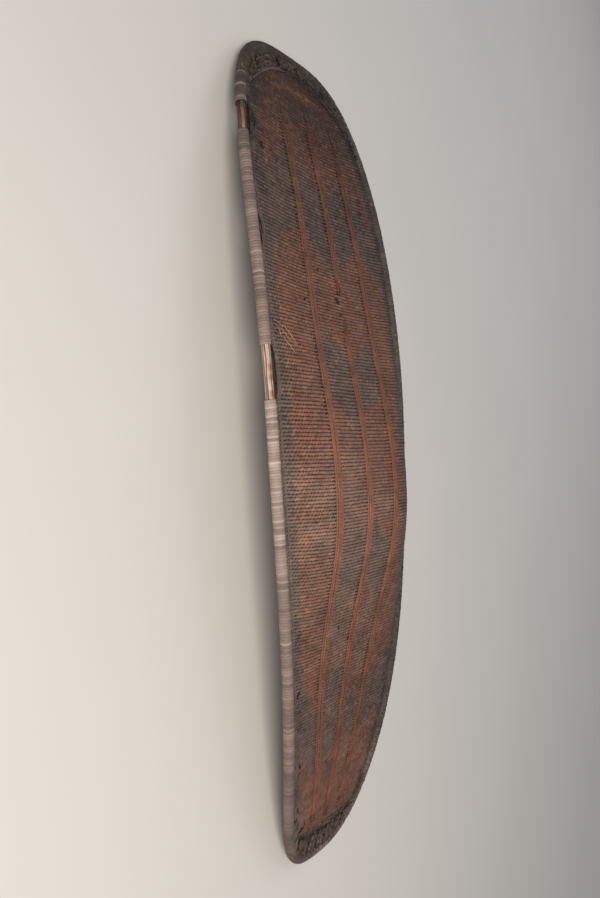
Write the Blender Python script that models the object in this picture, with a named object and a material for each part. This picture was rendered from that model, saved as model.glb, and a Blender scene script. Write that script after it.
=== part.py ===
"""A long woven cane shield that lies face up on its two ends.

+Y runs from the bottom end to the top end, +X across the shield and +Z out of its face.
The origin is on the floor, under the middle of the shield. All lengths are in metres.
"""
import math

import bmesh
import bpy
import numpy as np
from mathutils import Vector

# Overall size, measured over the rim binding
LENGTH = 1.300
WIDTH = 0.390
# Height of the widest place above the middle
WIDEST_Y = 0.170
# Outline of each end: how late the side turns in, and how blunt the end is
TOP_SIDE_POWER = 3.0
TOP_END_POWER = 3.45
BOTTOM_SIDE_POWER = 1.6
BOTTOM_END_POWER = 3.1

# Lengthwise bow of the rim, and how the bow falls away towards each end
BOW = 0.085
TOP_BOW_POWER = 2.0
BOTTOM_BOW_POWER = 3.0

# Dome of the woven panel, in front of the hand
DOME_HEIGHT = 0.0435
DOME_Y = -0.087
DOME_REACH_UP = 0.220
DOME_REACH_DOWN = 0.175
DOME_SIDE_POWER = 5.5

# Rim: a rod with a cane strip wound round it
HOOP_DIAMETER = 0.012
BINDING_THICKNESS = 0.0022
RIM_SIDES = 8
RIM_STEP = 0.055
RIM_TURN = math.radians(12.0)
# Two places on the left side where the binding is lost, measured down from the top end
UPPER_BARE_START = 0.133
UPPER_BARE_LENGTH = 0.050
LOWER_BARE_START = 0.490
LOWER_BARE_LENGTH = 0.076

# Gap between pieces that touch, and between the weave and what is laid on it
CLEARANCE = 0.0003
SEAT = 0.0005

# Woven panel
PANEL_THICKNESS = 0.006
PANEL_EDGE_LIFT = 0.002
PANEL_COLUMNS = 16

# Raised ribs: place across the middle, and how far they draw together at the ends
RIB_LEFT_X = -0.088
RIB_MIDDLE_X = -0.0045
RIB_RIGHT_X = 0.0785
RIB_WIDTH = 0.014
RIB_HEIGHT = 0.0042
RIB_CLOSING_TOP = 0.27
RIB_CLOSING_BOTTOM = 0.73
RIB_SWAY = 0.0114
RIB_TOP_GAP = 0.040
RIB_BOTTOM_GAP = 0.010

# Bands of heavier lashed work at the two ends: depth at the middle and curve of the
# inner edge, and the places of the slits across the shield
TOP_BAND_DEPTH = 0.030
TOP_BAND_RADIUS = 0.150
TOP_SLITS = (-0.099, -0.038, 0.011, 0.079)
BOTTOM_BAND_DEPTH = 0.0495
BOTTOM_BAND_RADIUS = 0.450
BOTTOM_SLITS = (-0.036, -0.011, 0.016, 0.061)
BAND_THICKNESS = 0.0042
BAND_STRIP_WIDTH = 0.008
BAND_SLIT_WIDTH = 0.0035
BAND_SLIT_FLOOR = 0.0012
BAND_SLOPE = 0.0015
BAND_TIP = 0.010

# Hand grip on the back, under the dome
GRIP_LENGTH = 0.230
GRIP_FOOT_WIDTH = 0.036
GRIP_FOOT_LENGTH = 0.040
GRIP_FOOT_DEPTH = 0.012
GRIP_BEND_LENGTH = 0.022
GRIP_NECK = 0.010
GRIP_HANDLE_WIDTH = 0.026
GRIP_HANDLE_DEPTH = 0.024
GRIP_SIDES = 12
FINGER_GAP = 0.038
LASHING_WIDTH = 0.024
LASHING_THICKNESS = 0.003

HOOP_RADIUS = HOOP_DIAMETER / 2
BINDING_INNER_RADIUS = HOOP_RADIUS + CLEARANCE
RIM_RADIUS = BINDING_INNER_RADIUS + BINDING_THICKNESS
RIM_END_Y = LENGTH / 2 - RIM_RADIUS
RIM_HALF_WIDTH = WIDTH / 2 - RIM_RADIUS
UP = Vector((0.0, 0.0, 1.0))


def clear_scene():
    """Remove every object, so that the file holds the shield alone."""
    for item in list(bpy.data.objects):
        bpy.data.objects.remove(item, do_unlink=True)


def finish_material(name, colour, roughness):
    """A plain matt surface for one sub-part."""
    material = bpy.data.materials.new(name)
    material.use_nodes = True
    shader = material.node_tree.nodes["Principled BSDF"]
    shader.inputs["Base Color"].default_value = (*colour, 1.0)
    shader.inputs["Roughness"].default_value = roughness
    shader.inputs["Metallic"].default_value = 0.0
    return material


def add_object(name, mesh_builder, material):
    """Link a new object made from a bmesh, with its faces turned outwards."""
    bmesh.ops.recalc_face_normals(mesh_builder, faces=mesh_builder.faces)
    mesh = bpy.data.meshes.new(name)
    mesh_builder.to_mesh(mesh)
    mesh_builder.free()
    mesh.materials.append(material)
    item = bpy.data.objects.new(name, mesh)
    bpy.context.scene.collection.objects.link(item)
    return item


def bow_height(y):
    """Height of the rim's centre line above the floor."""
    power = TOP_BOW_POWER if y > 0 else BOTTOM_BOW_POWER
    share = min(abs(y) / RIM_END_Y, 1.0)
    return RIM_RADIUS + BOW * (1 - share ** power)


def rim_half_width(y):
    """Half width of the rim's centre line at y."""
    if y > WIDEST_Y:
        share = (y - WIDEST_Y) / (RIM_END_Y - WIDEST_Y)
        side, end = TOP_SIDE_POWER, TOP_END_POWER
    else:
        share = (WIDEST_Y - y) / (RIM_END_Y + WIDEST_Y)
        side, end = BOTTOM_SIDE_POWER, BOTTOM_END_POWER
    return RIM_HALF_WIDTH * max(1 - min(share, 1.0) ** side, 0.0) ** (1 / end)


def rim_side_stations():
    """Points up the right side of the rim, closer together where it turns."""
    steps = 4000
    swing = np.linspace(-math.pi / 2, math.pi / 2, steps)
    heights = RIM_END_Y * np.sin(swing)
    widths = np.array([rim_half_width(y) for y in heights])
    dx, dy = np.diff(widths), np.diff(heights)
    run = np.hypot(dx, dy)
    heading = np.unwrap(np.arctan2(dy, dx))
    turn = np.abs(np.diff(heading, prepend=heading[0]))
    measure = np.concatenate([[0.0], np.cumsum(run / RIM_STEP + turn / RIM_TURN)])
    count = round(measure[-1])
    marks = (np.arange(count) + 0.5) / count * measure[-1]
    x = np.interp(marks, measure, widths)
    y = np.interp(marks, measure, heights)
    # The two end segments cross the middle line square, exactly at the shield's ends
    y = np.where(y > 0, y * RIM_END_Y / y[-1], y * -RIM_END_Y / y[0])
    return [Vector((a, b, bow_height(b))) for a, b in zip(x, y)]


def rim_frames(points):
    """Outward and upward directions at each point of the closed rim line."""
    frames = []
    for i, point in enumerate(points):
        before = (point - points[i - 1]).normalized()
        after = (points[(i + 1) % len(points)] - point).normalized()
        along = (before + after).normalized()
        outward = along.cross(UP).normalized()
        mitre = 1 / math.sqrt((1 + before.dot(after)) / 2)
        frames.append((outward * mitre, outward.cross(along).normalized()))
    return frames


class Rim:
    """Centre line of the rim with its frames, as a closed run of stations."""

    def __init__(self):
        self.right = rim_side_stations()
        left = [Vector((-p.x, p.y, p.z)) for p in reversed(self.right)]
        self.points = self.right + left
        self.frames = rim_frames(self.points)

    def left_place(self, y):
        """Point and frame on the left side at height y."""
        count = len(self.right)
        for i in range(count, 2 * count - 1):
            upper, lower = self.points[i], self.points[i + 1]
            if lower.y <= y <= upper.y:
                point = lower.lerp(upper, (y - lower.y) / (upper.y - lower.y))
                along = (lower - upper).normalized()
                outward = along.cross(UP).normalized()
                return point, (outward, outward.cross(along).normalized())
        raise ValueError("no place on the left side at this height")

    def left_run(self, above, below):
        """Stations on the left side between two heights, from the top down."""
        count = len(self.right)
        return [(self.points[i], self.frames[i]) for i in range(count, 2 * count)
                if below < self.points[i].y < above]

    def right_run(self):
        """All stations on the right side, from the bottom up."""
        return [(self.points[i], self.frames[i]) for i in range(len(self.right))]

    def inset(self, distance):
        """Right side of the outline moved in by a distance, as x and y arrays."""
        moved = [p - frame[0] * distance for p, frame in self.right_run()]
        return np.array([p.x for p in moved]), np.array([p.y for p in moved])


def tube_ring(bm, place, radius):
    """One ring of a tube whose flats face outwards and up."""
    point, (outward, upward) = place
    corner = radius / math.cos(math.pi / RIM_SIDES)
    ring = []
    for i in range(RIM_SIDES):
        angle = (i + 0.5) * 2 * math.pi / RIM_SIDES
        offset = outward * (corner * math.cos(angle)) + upward * (corner * math.sin(angle))
        ring.append(bm.verts.new(point + offset))
    return ring


def skin(bm, ring, other, closed=True):
    """Quads between two rings with the same number of points."""
    count = len(ring) if closed else len(ring) - 1
    for i in range(count):
        j = (i + 1) % len(ring)
        bm.faces.new((ring[i], ring[j], other[j], other[i]))


def make_hoop(rim, material):
    """The rod that runs right round the shield."""
    bm = bmesh.new()
    rings = [tube_ring(bm, place, HOOP_RADIUS) for place in zip(rim.points, rim.frames)]
    for i, ring in enumerate(rings):
        skin(bm, ring, rings[(i + 1) % len(rings)])
    return add_object("rim_hoop", bm, material)


def make_binding(name, places, material):
    """A run of cane binding: a tube round the rod, open at both ends."""
    bm = bmesh.new()
    outer = [tube_ring(bm, place, RIM_RADIUS) for place in places]
    inner = [tube_ring(bm, place, BINDING_INNER_RADIUS) for place in places]
    for rings in (outer, inner):
        for ring, other in zip(rings, rings[1:]):
            skin(bm, ring, other)
    skin(bm, outer[0], inner[0])
    skin(bm, outer[-1], inner[-1])
    return add_object(name, bm, material)


def make_bindings(rim, material):
    """The two runs of binding, between the two bare places."""
    upper_start = RIM_END_Y - UPPER_BARE_START
    upper_end = upper_start - UPPER_BARE_LENGTH
    lower_start = RIM_END_Y - LOWER_BARE_START
    lower_end = lower_start - LOWER_BARE_LENGTH
    short_run = [rim.left_place(upper_end)]
    short_run += rim.left_run(upper_end, lower_start)
    short_run += [rim.left_place(lower_start)]
    long_run = [rim.left_place(lower_end)]
    long_run += rim.left_run(lower_end, -LENGTH)
    long_run += rim.right_run()
    long_run += rim.left_run(LENGTH, upper_start)
    long_run += [rim.left_place(upper_start)]
    make_binding("rim_binding_short_run", short_run, material)
    make_binding("rim_binding_long_run", long_run, material)


class Panel:
    """Middle surface of the woven panel, on the grid that its mesh uses."""

    def __init__(self, rim):
        self.edge_x, self.rows = rim.inset(RIM_RADIUS + CLEARANCE)
        spread = np.linspace(-math.pi / 2, math.pi / 2, PANEL_COLUMNS + 1)
        self.columns = np.sin(spread)
        self.heights = np.array([[self.exact(u, y) for u in self.columns] for y in self.rows])

    @staticmethod
    def exact(share, y):
        """Height of the middle surface at a share of the half width and at y."""
        reach = DOME_REACH_UP if y > DOME_Y else DOME_REACH_DOWN
        dome = DOME_HEIGHT * math.exp(-((y - DOME_Y) / reach) ** 2)
        rise = dome * (1 - abs(share) ** DOME_SIDE_POWER)
        return bow_height(y) + PANEL_EDGE_LIFT + rise

    def half_width(self, y):
        """Half width of the panel at y."""
        return float(np.interp(y, self.rows, self.edge_x))

    def height(self, x, y):
        """Height of the middle surface at x and y, read off the mesh grid."""
        y = min(max(y, self.rows[0]), self.rows[-1])
        row = min(int(np.searchsorted(self.rows, y, side="right")) - 1, len(self.rows) - 2)
        part = (y - self.rows[row]) / (self.rows[row + 1] - self.rows[row])
        share = min(max(x / self.half_width(y), -1.0), 1.0)
        low = np.interp(share, self.columns, self.heights[row])
        high = np.interp(share, self.columns, self.heights[row + 1])
        return float(low + (high - low) * part)

    def face(self, x, y):
        """Height of the front face, with room for what is laid on it."""
        return self.height(x, y) + PANEL_THICKNESS / 2 + SEAT

    def back(self, x, y):
        """Height of the back, with room for what is tied under it."""
        return self.height(x, y) - PANEL_THICKNESS / 2 - SEAT


def raise_sheet(bm, grid, heights):
    """Close a grid of points into a solid by lifting a copy of it.

    grid holds rows of positions on the underside, and heights the lift at each of them.
    """
    low = [[bm.verts.new(p) for p in row] for row in grid]
    high = [[bm.verts.new(p + UP * h) for p, h in zip(row, lifts)]
            for row, lifts in zip(grid, heights)]
    for row, other in zip(low, low[1:]):
        skin(bm, row, other, closed=False)
    for row, other in zip(high, high[1:]):
        skin(bm, row, other, closed=False)
    skin(bm, low[0], high[0], closed=False)
    skin(bm, low[-1], high[-1], closed=False)
    skin(bm, [row[0] for row in low], [row[0] for row in high], closed=False)
    skin(bm, [row[-1] for row in low], [row[-1] for row in high], closed=False)


def make_panel(panel, material):
    """The woven sheet itself."""
    bm = bmesh.new()
    grid = []
    for y, edge, row in zip(panel.rows, panel.edge_x, panel.heights):
        grid.append([Vector((u * edge, y, z - PANEL_THICKNESS / 2))
                     for u, z in zip(panel.columns, row)])
    lifts = [[PANEL_THICKNESS] * len(row) for row in grid]
    raise_sheet(bm, grid, lifts)
    return add_object("woven_panel", bm, material)


def band_inner_edge(x, top):
    """Height on the shield of an end band's inner edge at x."""
    if top:
        return RIM_END_Y - TOP_BAND_DEPTH - x * x / (2 * TOP_BAND_RADIUS)
    return -RIM_END_Y + BOTTOM_BAND_DEPTH + x * x / (2 * BOTTOM_BAND_RADIUS)


def end_outline(panel, x, top):
    """Height on the shield of the panel's end edge at x."""
    widest = int(np.argmax(panel.edge_x))
    if top:
        across, along = panel.edge_x[widest:][::-1], panel.rows[widest:][::-1]
    else:
        across, along = panel.edge_x[:widest + 1], panel.rows[:widest + 1]
    return float(np.interp(abs(x), across, along))


def band_half_reach(panel, top):
    """Distance from the middle line at which an end band runs out to its tip."""
    places = np.linspace(0.0, panel.edge_x.max(), 400)
    depths = [abs(end_outline(panel, x, top)) - abs(band_inner_edge(x, top)) for x in places]
    return max(x for x, depth in zip(places, depths) if depth > BAND_TIP)


def band_stations(panel, reach, slits):
    """Places across an end band, each with its lift: at the slits and at the rim's corners."""
    corners = sorted(side * x for x in panel.edge_x for side in (-1, 1))
    bounds = [-reach]
    for slit in slits:
        bounds += [slit - BAND_SLIT_WIDTH / 2, slit + BAND_SLIT_WIDTH / 2]
    bounds.append(reach)
    stations = []
    for start, end in zip(bounds[::2], bounds[1::2]):
        stations += [(start, BAND_SLIT_FLOOR), (start + BAND_SLOPE, BAND_THICKNESS)]
        stations += [(x, BAND_THICKNESS) for x in corners
                     if start + 2 * BAND_SLOPE < x < end - 2 * BAND_SLOPE]
        stations += [(end - BAND_SLOPE, BAND_THICKNESS), (end, BAND_SLIT_FLOOR)]
    return stations


def make_band(panel, name, top, slits, material):
    """Heavier lashed work across one end: a strip, and pads parted by lengthwise slits."""
    grid = []
    lifts = []
    for x, lift in band_stations(panel, band_half_reach(panel, top), slits):
        inner = band_inner_edge(x, top)
        outer = end_outline(panel, x, top)
        strip = min(BAND_STRIP_WIDTH / abs(outer - inner), 0.7)
        slope = strip + (1 - strip) * 0.2
        line = [inner + (outer - inner) * part for part in (0.0, strip, slope, 1.0)]
        grid.append([Vector((x, y, panel.face(x, y))) for y in line])
        lifts.append([BAND_THICKNESS, BAND_THICKNESS, lift, lift])
    bm = bmesh.new()
    raise_sheet(bm, grid, lifts)
    return add_object(name, bm, material)


def rib_x(place, y):
    """Place of a rib across the shield at y."""
    share = y / RIM_END_Y
    closing = RIB_CLOSING_TOP if y > 0 else RIB_CLOSING_BOTTOM
    return place * (1 - closing * share ** 2) + RIB_SWAY * math.sin(math.pi * share)


def rib_end(place, top):
    """Height on the shield at which a rib stops, short of the end band."""
    sign = 1 if top else -1
    gap = RIB_TOP_GAP if top else RIB_BOTTOM_GAP
    half = RIB_WIDTH / 2
    y = sign * RIM_END_Y
    for _ in range(8):
        x = rib_x(place, y)
        edges = [abs(band_inner_edge(side, top)) for side in (x - half, x + half)]
        y = sign * (min(edges) - gap)
    return y


def make_rib(panel, name, place, material):
    """A raised rod of cane bound into the face."""
    low, high = rib_end(place, False), rib_end(place, True)
    margin = RIB_WIDTH
    rows = [y for y in panel.rows if low + margin < y < high - margin]
    rows = [low, low + RIB_WIDTH / 2, *rows, high - RIB_WIDTH / 2, high]
    section = ((-1.0, 0.25), (-0.6, 0.85), (0.0, 1.0), (0.6, 0.85), (1.0, 0.25))
    grid = []
    lifts = []
    for y in rows:
        at_end = y in (low, high)
        taper = 0.45 if at_end else 1.0
        x = rib_x(place, y)
        across = [x + side * RIB_WIDTH / 2 * taper for side, _ in section]
        grid.append([Vector((a, y, panel.face(a, y))) for a in across])
        lifts.append([RIB_HEIGHT * lift * taper for _, lift in section])
    bm = bmesh.new()
    raise_sheet(bm, grid, lifts)
    return add_object(name, bm, material)


def ease(part):
    """Smooth step from 0 to 1."""
    part = min(max(part, 0.0), 1.0)
    return part * part * (3 - 2 * part)


class Grip:
    """Carved wooden grip: two feet against the back and a handle clear of it."""

    def __init__(self, panel):
        self.panel = panel

    def shape(self, y):
        """Half width, top, bottom and roundness of the grip at y."""
        inward = GRIP_LENGTH / 2 - abs(y - DOME_Y)
        seat = self.panel.back(0.0, y)
        top_part = ease((inward - GRIP_FOOT_LENGTH) / GRIP_BEND_LENGTH)
        low_part = ease((inward - GRIP_FOOT_LENGTH + GRIP_NECK) / GRIP_BEND_LENGTH)
        top = seat - FINGER_GAP * top_part
        drop = FINGER_GAP + GRIP_HANDLE_DEPTH - GRIP_FOOT_DEPTH
        bottom = seat - GRIP_FOOT_DEPTH - drop * low_part
        half = GRIP_FOOT_WIDTH + (GRIP_HANDLE_WIDTH - GRIP_FOOT_WIDTH) * low_part
        roundness = 0.33 + 0.5 * top_part
        return half / 2, top, bottom, roundness

    def outline(self, y, angles, margin):
        """Points round the grip at y, moved out by a margin."""
        half, top, bottom, roundness = self.shape(y)
        middle, depth = (top + bottom) / 2, (top - bottom) / 2
        points = []
        for angle in angles:
            c, s = math.cos(angle), math.sin(angle)
            across = math.copysign(abs(c) ** roundness, c) * (half + margin)
            height = math.copysign(abs(s) ** roundness, s) * (depth + margin)
            points.append(Vector((across, y, middle + height)))
        return points

    def make(self, material):
        """The grip as one carved piece."""
        angles = [(i + 0.5) * 2 * math.pi / GRIP_SIDES for i in range(GRIP_SIDES)]
        bend_start = GRIP_FOOT_LENGTH - GRIP_NECK
        bend_end = GRIP_FOOT_LENGTH + GRIP_BEND_LENGTH
        inward = [0.0, GRIP_FOOT_LENGTH * 0.15, *np.linspace(bend_start, bend_end, 8)]
        steps = [DOME_Y - GRIP_LENGTH / 2 + value for value in inward]
        steps += [DOME_Y] + [2 * DOME_Y - y for y in reversed(steps)]
        bm = bmesh.new()
        rings = [[bm.verts.new(p) for p in self.outline(y, angles, 0.0)] for y in steps]
        for ring, other in zip(rings, rings[1:]):
            skin(bm, ring, other)
        bm.faces.new(rings[0])
        bm.faces.new(rings[-1])
        return add_object("hand_grip", bm, material)

    def lashing_ring(self, y, margin, angles):
        """One side of a lashing's section: down one leg, under the foot and up."""
        under = self.outline(y, angles, margin)
        reach = abs(under[0].x)
        legs = [Vector((side * reach, y, self.panel.back(side * reach, y))) for side in (-1, 1)]
        return [legs[0], *under, legs[1]]

    def make_lashing(self, name, middle, material):
        """A cane lashing slung under one foot, its two ends through the weave."""
        angles = [math.pi + (i + 0.5) * 2 * math.pi / GRIP_SIDES for i in range(GRIP_SIDES // 2)]
        bm = bmesh.new()
        inner = []
        outer = []
        for side in (-1, 0, 1):
            y = middle + side * LASHING_WIDTH / 2
            for rings, margin in ((inner, SEAT), (outer, SEAT + LASHING_THICKNESS)):
                ring = self.lashing_ring(y, margin, angles)
                rings.append([bm.verts.new(p) for p in ring])
        for rings in (inner, outer):
            for ring, other in zip(rings, rings[1:]):
                skin(bm, ring, other, closed=False)
        skin(bm, inner[0], outer[0], closed=False)
        skin(bm, inner[-1], outer[-1], closed=False)
        skin(bm, [ring[0] for ring in inner], [ring[0] for ring in outer], closed=False)
        skin(bm, [ring[-1] for ring in inner], [ring[-1] for ring in outer], closed=False)
        return add_object(name, bm, material)


def main():
    """Model every piece of the shield."""
    clear_scene()
    weave = finish_material("stained cane weave", (0.085, 0.040, 0.030), 0.62)
    bare_rod = finish_material("bare rattan rod", (0.36, 0.17, 0.085), 0.5)
    binding = finish_material("weathered cane strip", (0.26, 0.20, 0.175), 0.6)
    red_cane = finish_material("red stained cane", (0.17, 0.05, 0.028), 0.58)
    dark_cane = finish_material("smoke dark cane", (0.085, 0.07, 0.062), 0.65)
    wood = finish_material("handled hardwood", (0.10, 0.052, 0.03), 0.45)
    rim = Rim()
    panel = Panel(rim)
    make_hoop(rim, bare_rod)
    make_bindings(rim, binding)
    make_panel(panel, weave)
    make_rib(panel, "rib_left", RIB_LEFT_X, red_cane)
    make_rib(panel, "rib_middle", RIB_MIDDLE_X, red_cane)
    make_rib(panel, "rib_right", RIB_RIGHT_X, red_cane)
    make_band(panel, "end_band_top", True, TOP_SLITS, dark_cane)
    make_band(panel, "end_band_bottom", False, BOTTOM_SLITS, dark_cane)
    grip = Grip(panel)
    grip.make(wood)
    foot = GRIP_LENGTH / 2 - (GRIP_FOOT_LENGTH - GRIP_NECK) / 2
    grip.make_lashing("grip_lashing_upper", DOME_Y + foot, binding)
    grip.make_lashing("grip_lashing_lower", DOME_Y - foot, binding)


main()
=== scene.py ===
"""Looks of a long woven cane shield that lies face up on its two ends.

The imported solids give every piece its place. This script dresses them: each stitch of the
weave, each turn of the rim's binding and each strand of the ribs and end bands is a closed
piece of cane of its own, laid out by Geometry Nodes. +Y runs to the top end, +X across the
shield and +Z out of its face. Lengths are in metres unless a comment says otherwise.
"""
from __future__ import annotations

import logging
import math
from dataclasses import dataclass, field
from enum import Enum
from typing import Any, Iterable, Sequence

import bmesh
import bpy
import numpy as np
from bpy.types import Material, Mesh, Node, NodeSocket, NodeTree, Object
from mathutils import Matrix, Vector, noise

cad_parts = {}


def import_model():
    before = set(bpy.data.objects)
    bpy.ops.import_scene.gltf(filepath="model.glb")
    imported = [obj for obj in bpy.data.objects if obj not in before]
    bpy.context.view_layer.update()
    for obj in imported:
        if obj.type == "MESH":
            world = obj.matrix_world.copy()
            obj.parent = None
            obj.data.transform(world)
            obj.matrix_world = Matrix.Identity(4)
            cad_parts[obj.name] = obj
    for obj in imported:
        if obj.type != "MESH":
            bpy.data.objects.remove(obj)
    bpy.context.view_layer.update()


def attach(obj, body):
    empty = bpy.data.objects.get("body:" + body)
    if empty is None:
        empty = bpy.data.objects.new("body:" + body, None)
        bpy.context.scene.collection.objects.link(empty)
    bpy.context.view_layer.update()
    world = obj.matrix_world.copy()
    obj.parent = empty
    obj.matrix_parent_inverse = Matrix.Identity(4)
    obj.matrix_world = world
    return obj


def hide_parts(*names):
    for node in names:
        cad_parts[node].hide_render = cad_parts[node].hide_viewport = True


log = logging.getLogger("cane_shield")

Array = np.ndarray
Values = Array | float
Random = np.random.Generator
seeded = np.random.default_rng
Pair = tuple[float, float]
Triple = tuple[float, float, float]
Table = tuple[Pair, ...]
Faces = list[Sequence[int]]
MM = 0.001
BODY = "root"
# Length over which directions on the surface are measured
STEP = 0.5 * MM


# Small helpers


def linear(hex_code: str) -> tuple[float, float, float, float]:
    """Turn an sRGB hex colour into linear values.

    Args:
        hex_code: Six hex digits, with or without a leading hash.

    Returns:
        Linear red, green and blue, with an alpha of one.
    """
    digits = hex_code.lstrip("#")
    channels = []
    for start in (0, 2, 4):
        value = int(digits[start:start + 2], 16) / 255
        low = value / 12.92
        high = ((value + 0.055) / 1.055) ** 2.4
        channels.append(low if value <= 0.04045 else high)
    return (channels[0], channels[1], channels[2], 1.0)


def add(tree: NodeTree, kind: str, links: dict[Any, Any] | None = None, **settings: Any) -> Node:
    """Add one node to a tree, with its settings and what feeds its inputs.

    Args:
        tree: Shader or geometry tree that gets the node.
        kind: Blender's name for the node's type.
        links: For an input's name or number, the socket or plain value that feeds it. A node
            stands for its first output.
        **settings: Properties of the node itself.

    Returns:
        The new node.
    """
    made = tree.nodes.new(kind)
    for name, value in settings.items():
        setattr(made, name, value)
    for key, value in (links or {}).items():
        if isinstance(value, Node):
            value = value.outputs[0]
        if isinstance(value, NodeSocket):
            tree.links.new(value, made.inputs[key])
        else:
            made.inputs[key].default_value = value
    return made


def vectors(*parts: Values) -> Array:
    """Join values into rows, with a single value repeated on every row."""
    return np.stack(np.broadcast_arrays(*parts), axis=-1)


def random_sizes(rng: Random, count: int, *ranges: Pair) -> Array:
    """Rows of sizes, drawn evenly from ranges in millimetres."""
    return vectors(*(rng.uniform(*limits, count) for limits in ranges)) * MM


def look_up(table: Table, places: Array) -> Array:
    """Read a table of places and values, with straight lines between its entries."""
    return np.interp(places, *zip(*table))


def between(marks: Array, run: Array, rows: Array) -> Array:
    """Rows of an array at marks between the runs that the rows belong to."""
    return vectors(*(np.interp(marks, run, column) for column in rows.T))


def unit(rows: Array) -> Array:
    """Scale each row of an array of vectors to length one."""
    return rows / np.linalg.norm(rows, axis=-1, keepdims=True)


def ease(part: Array) -> Array:
    """Smooth step from 0 to 1."""
    part = np.clip(part, 0, 1)
    return part * part * (3 - 2 * part)


def noise_at(points: Array) -> Array:
    """Smooth noise, from about -1 to 1, at each row of an array of points."""
    return np.array([noise.noise(Vector(point)) for point in points])


def patchiness(x: Array, y: Array, size: float, seed: float) -> Array:
    """Smooth noise over the shield's face.

    Args:
        x: Places across the shield.
        y: Places along the shield.
        size: Distance over which the noise changes.
        seed: Moves the noise to another part of its field.

    Returns:
        One value from about -1 to 1 for each place.
    """
    return noise_at(vectors(np.ravel(x) / size, np.ravel(y) / size, seed))


def add_object(name: str, data: Any) -> Object:
    """Link a new object at the origin for a mesh, a lamp or a camera."""
    item = bpy.data.objects.new(name, data)
    bpy.context.scene.collection.objects.link(item)
    return item


def set_marks(mesh: Mesh, marks: dict[str, Values]) -> None:
    """Store named numbers or vectors on a mesh's points; a single number goes on all."""
    for name, values in marks.items():
        values = np.asarray(values, dtype=np.float32)
        if not values.ndim:
            values = np.full(len(mesh.vertices), values)
        kind, key = ("FLOAT_VECTOR", "vector") if values.ndim > 1 else ("FLOAT", "value")
        mesh.attributes.new(name, kind, "POINT").data.foreach_set(key, values.ravel())


def solid_object(
    name: str, verts: Array, faces: Iterable[Sequence[int]], finish: Material,
    marks: dict[str, Values] | None = None
) -> Object:
    """Make a smooth closed piece from its points and faces.

    Args:
        name: Name of the piece.
        verts: Points, one row each.
        faces: Point numbers of each face.
        finish: Material of the whole piece.
        marks: Named values that the material reads, for each point or for all.

    Returns:
        The linked object, with its faces turned outwards.
    """
    mesh = bpy.data.meshes.new(name)
    mesh.from_pydata([tuple(v) for v in verts], [], [tuple(f) for f in faces])
    set_marks(mesh, marks or {})
    builder = bmesh.new()
    builder.from_mesh(mesh)
    bmesh.ops.recalc_face_normals(builder, faces=builder.faces)
    builder.to_mesh(mesh)
    builder.free()
    mesh.shade_smooth()
    mesh.materials.append(finish)
    return add_object(name, mesh)


def grid_faces(rows: int, columns: int, wrap_rows: bool, wrap_columns: bool) -> Faces:
    """Quads of a grid of points that is numbered row by row."""
    faces = []
    for i in range(rows if wrap_rows else rows - 1):
        for j in range(columns if wrap_columns else columns - 1):
            a, b = (i + 1) % rows, (j + 1) % columns
            faces.append((i * columns + j, i * columns + b, a * columns + b, a * columns + j))
    return faces


def slab_faces(rows: int, columns: int) -> Faces:
    """Faces of a closed slab: two grids of points, one after the other, and its edges."""
    face = grid_faces(rows, columns, False, False)
    total = rows * columns
    border = [
        *range(columns), *range(2 * columns - 1, total, columns),
        *range(total - 2, total - 1 - columns, -1), *range(total - 2 * columns, 0, -columns)]
    sides = [(a, b, total + b, total + a) for a, b in zip(border, border[1:] + border[:1])]
    return face + [tuple(total + i for i in reversed(f)) for f in face] + sides


def tube_faces(rings: int, sides: int) -> Faces:
    """Faces of a tube of rings of points, with a flat cap on each end."""
    last = (rings - 1) * sides
    return [*grid_faces(rings, sides, False, True), range(sides), range(last, last + sides)]


class Rows:
    """Base of a dataclass of arrays, which hold one row for each place."""

    def only(self, keep: Array) -> Any:
        """The rows that a mask or an order picks."""
        return type(self)(*(getattr(self, name)[keep] for name in self.__dataclass_fields__))

    @classmethod
    def join(cls, *tables: Any) -> Any:
        """Several tables as one."""
        return cls(*(
            np.concatenate([getattr(table, name) for table in tables])
            for name in cls.__dataclass_fields__))

    def mesh(self, name: str, edges: Sequence[tuple[int, int]] = ()) -> Mesh:
        """A mesh with a point for each place, which carries the other columns as marks."""
        place, *others = self.__dataclass_fields__
        made = bpy.data.meshes.new(name)
        made.from_pydata([tuple(p) for p in getattr(self, place)], edges, [])
        set_marks(made, {mark: getattr(self, mark) for mark in others})
        return made


# Form of the shield


@dataclass
class RimLine(Rows):
    """Places round the rim's centre line, with their directions and the run so far."""

    place: Array
    along: Array
    outward: Array
    upward: Array
    run: Array

    def tube(self, angle: Array, radius: Values) -> Array:
        """Points round the line.

        Args:
            angle: Angles from the outward direction towards the upward one.
            radius: Distance from the line, for all points or for each of them.

        Returns:
            One row of points for each place on the line.
        """
        spoke = (self.outward[:, None] * np.cos(angle)[:, None]
                 + self.upward[:, None] * np.sin(angle)[:, None])
        return self.place[:, None] + spoke * np.asarray(radius)[..., None]


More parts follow.
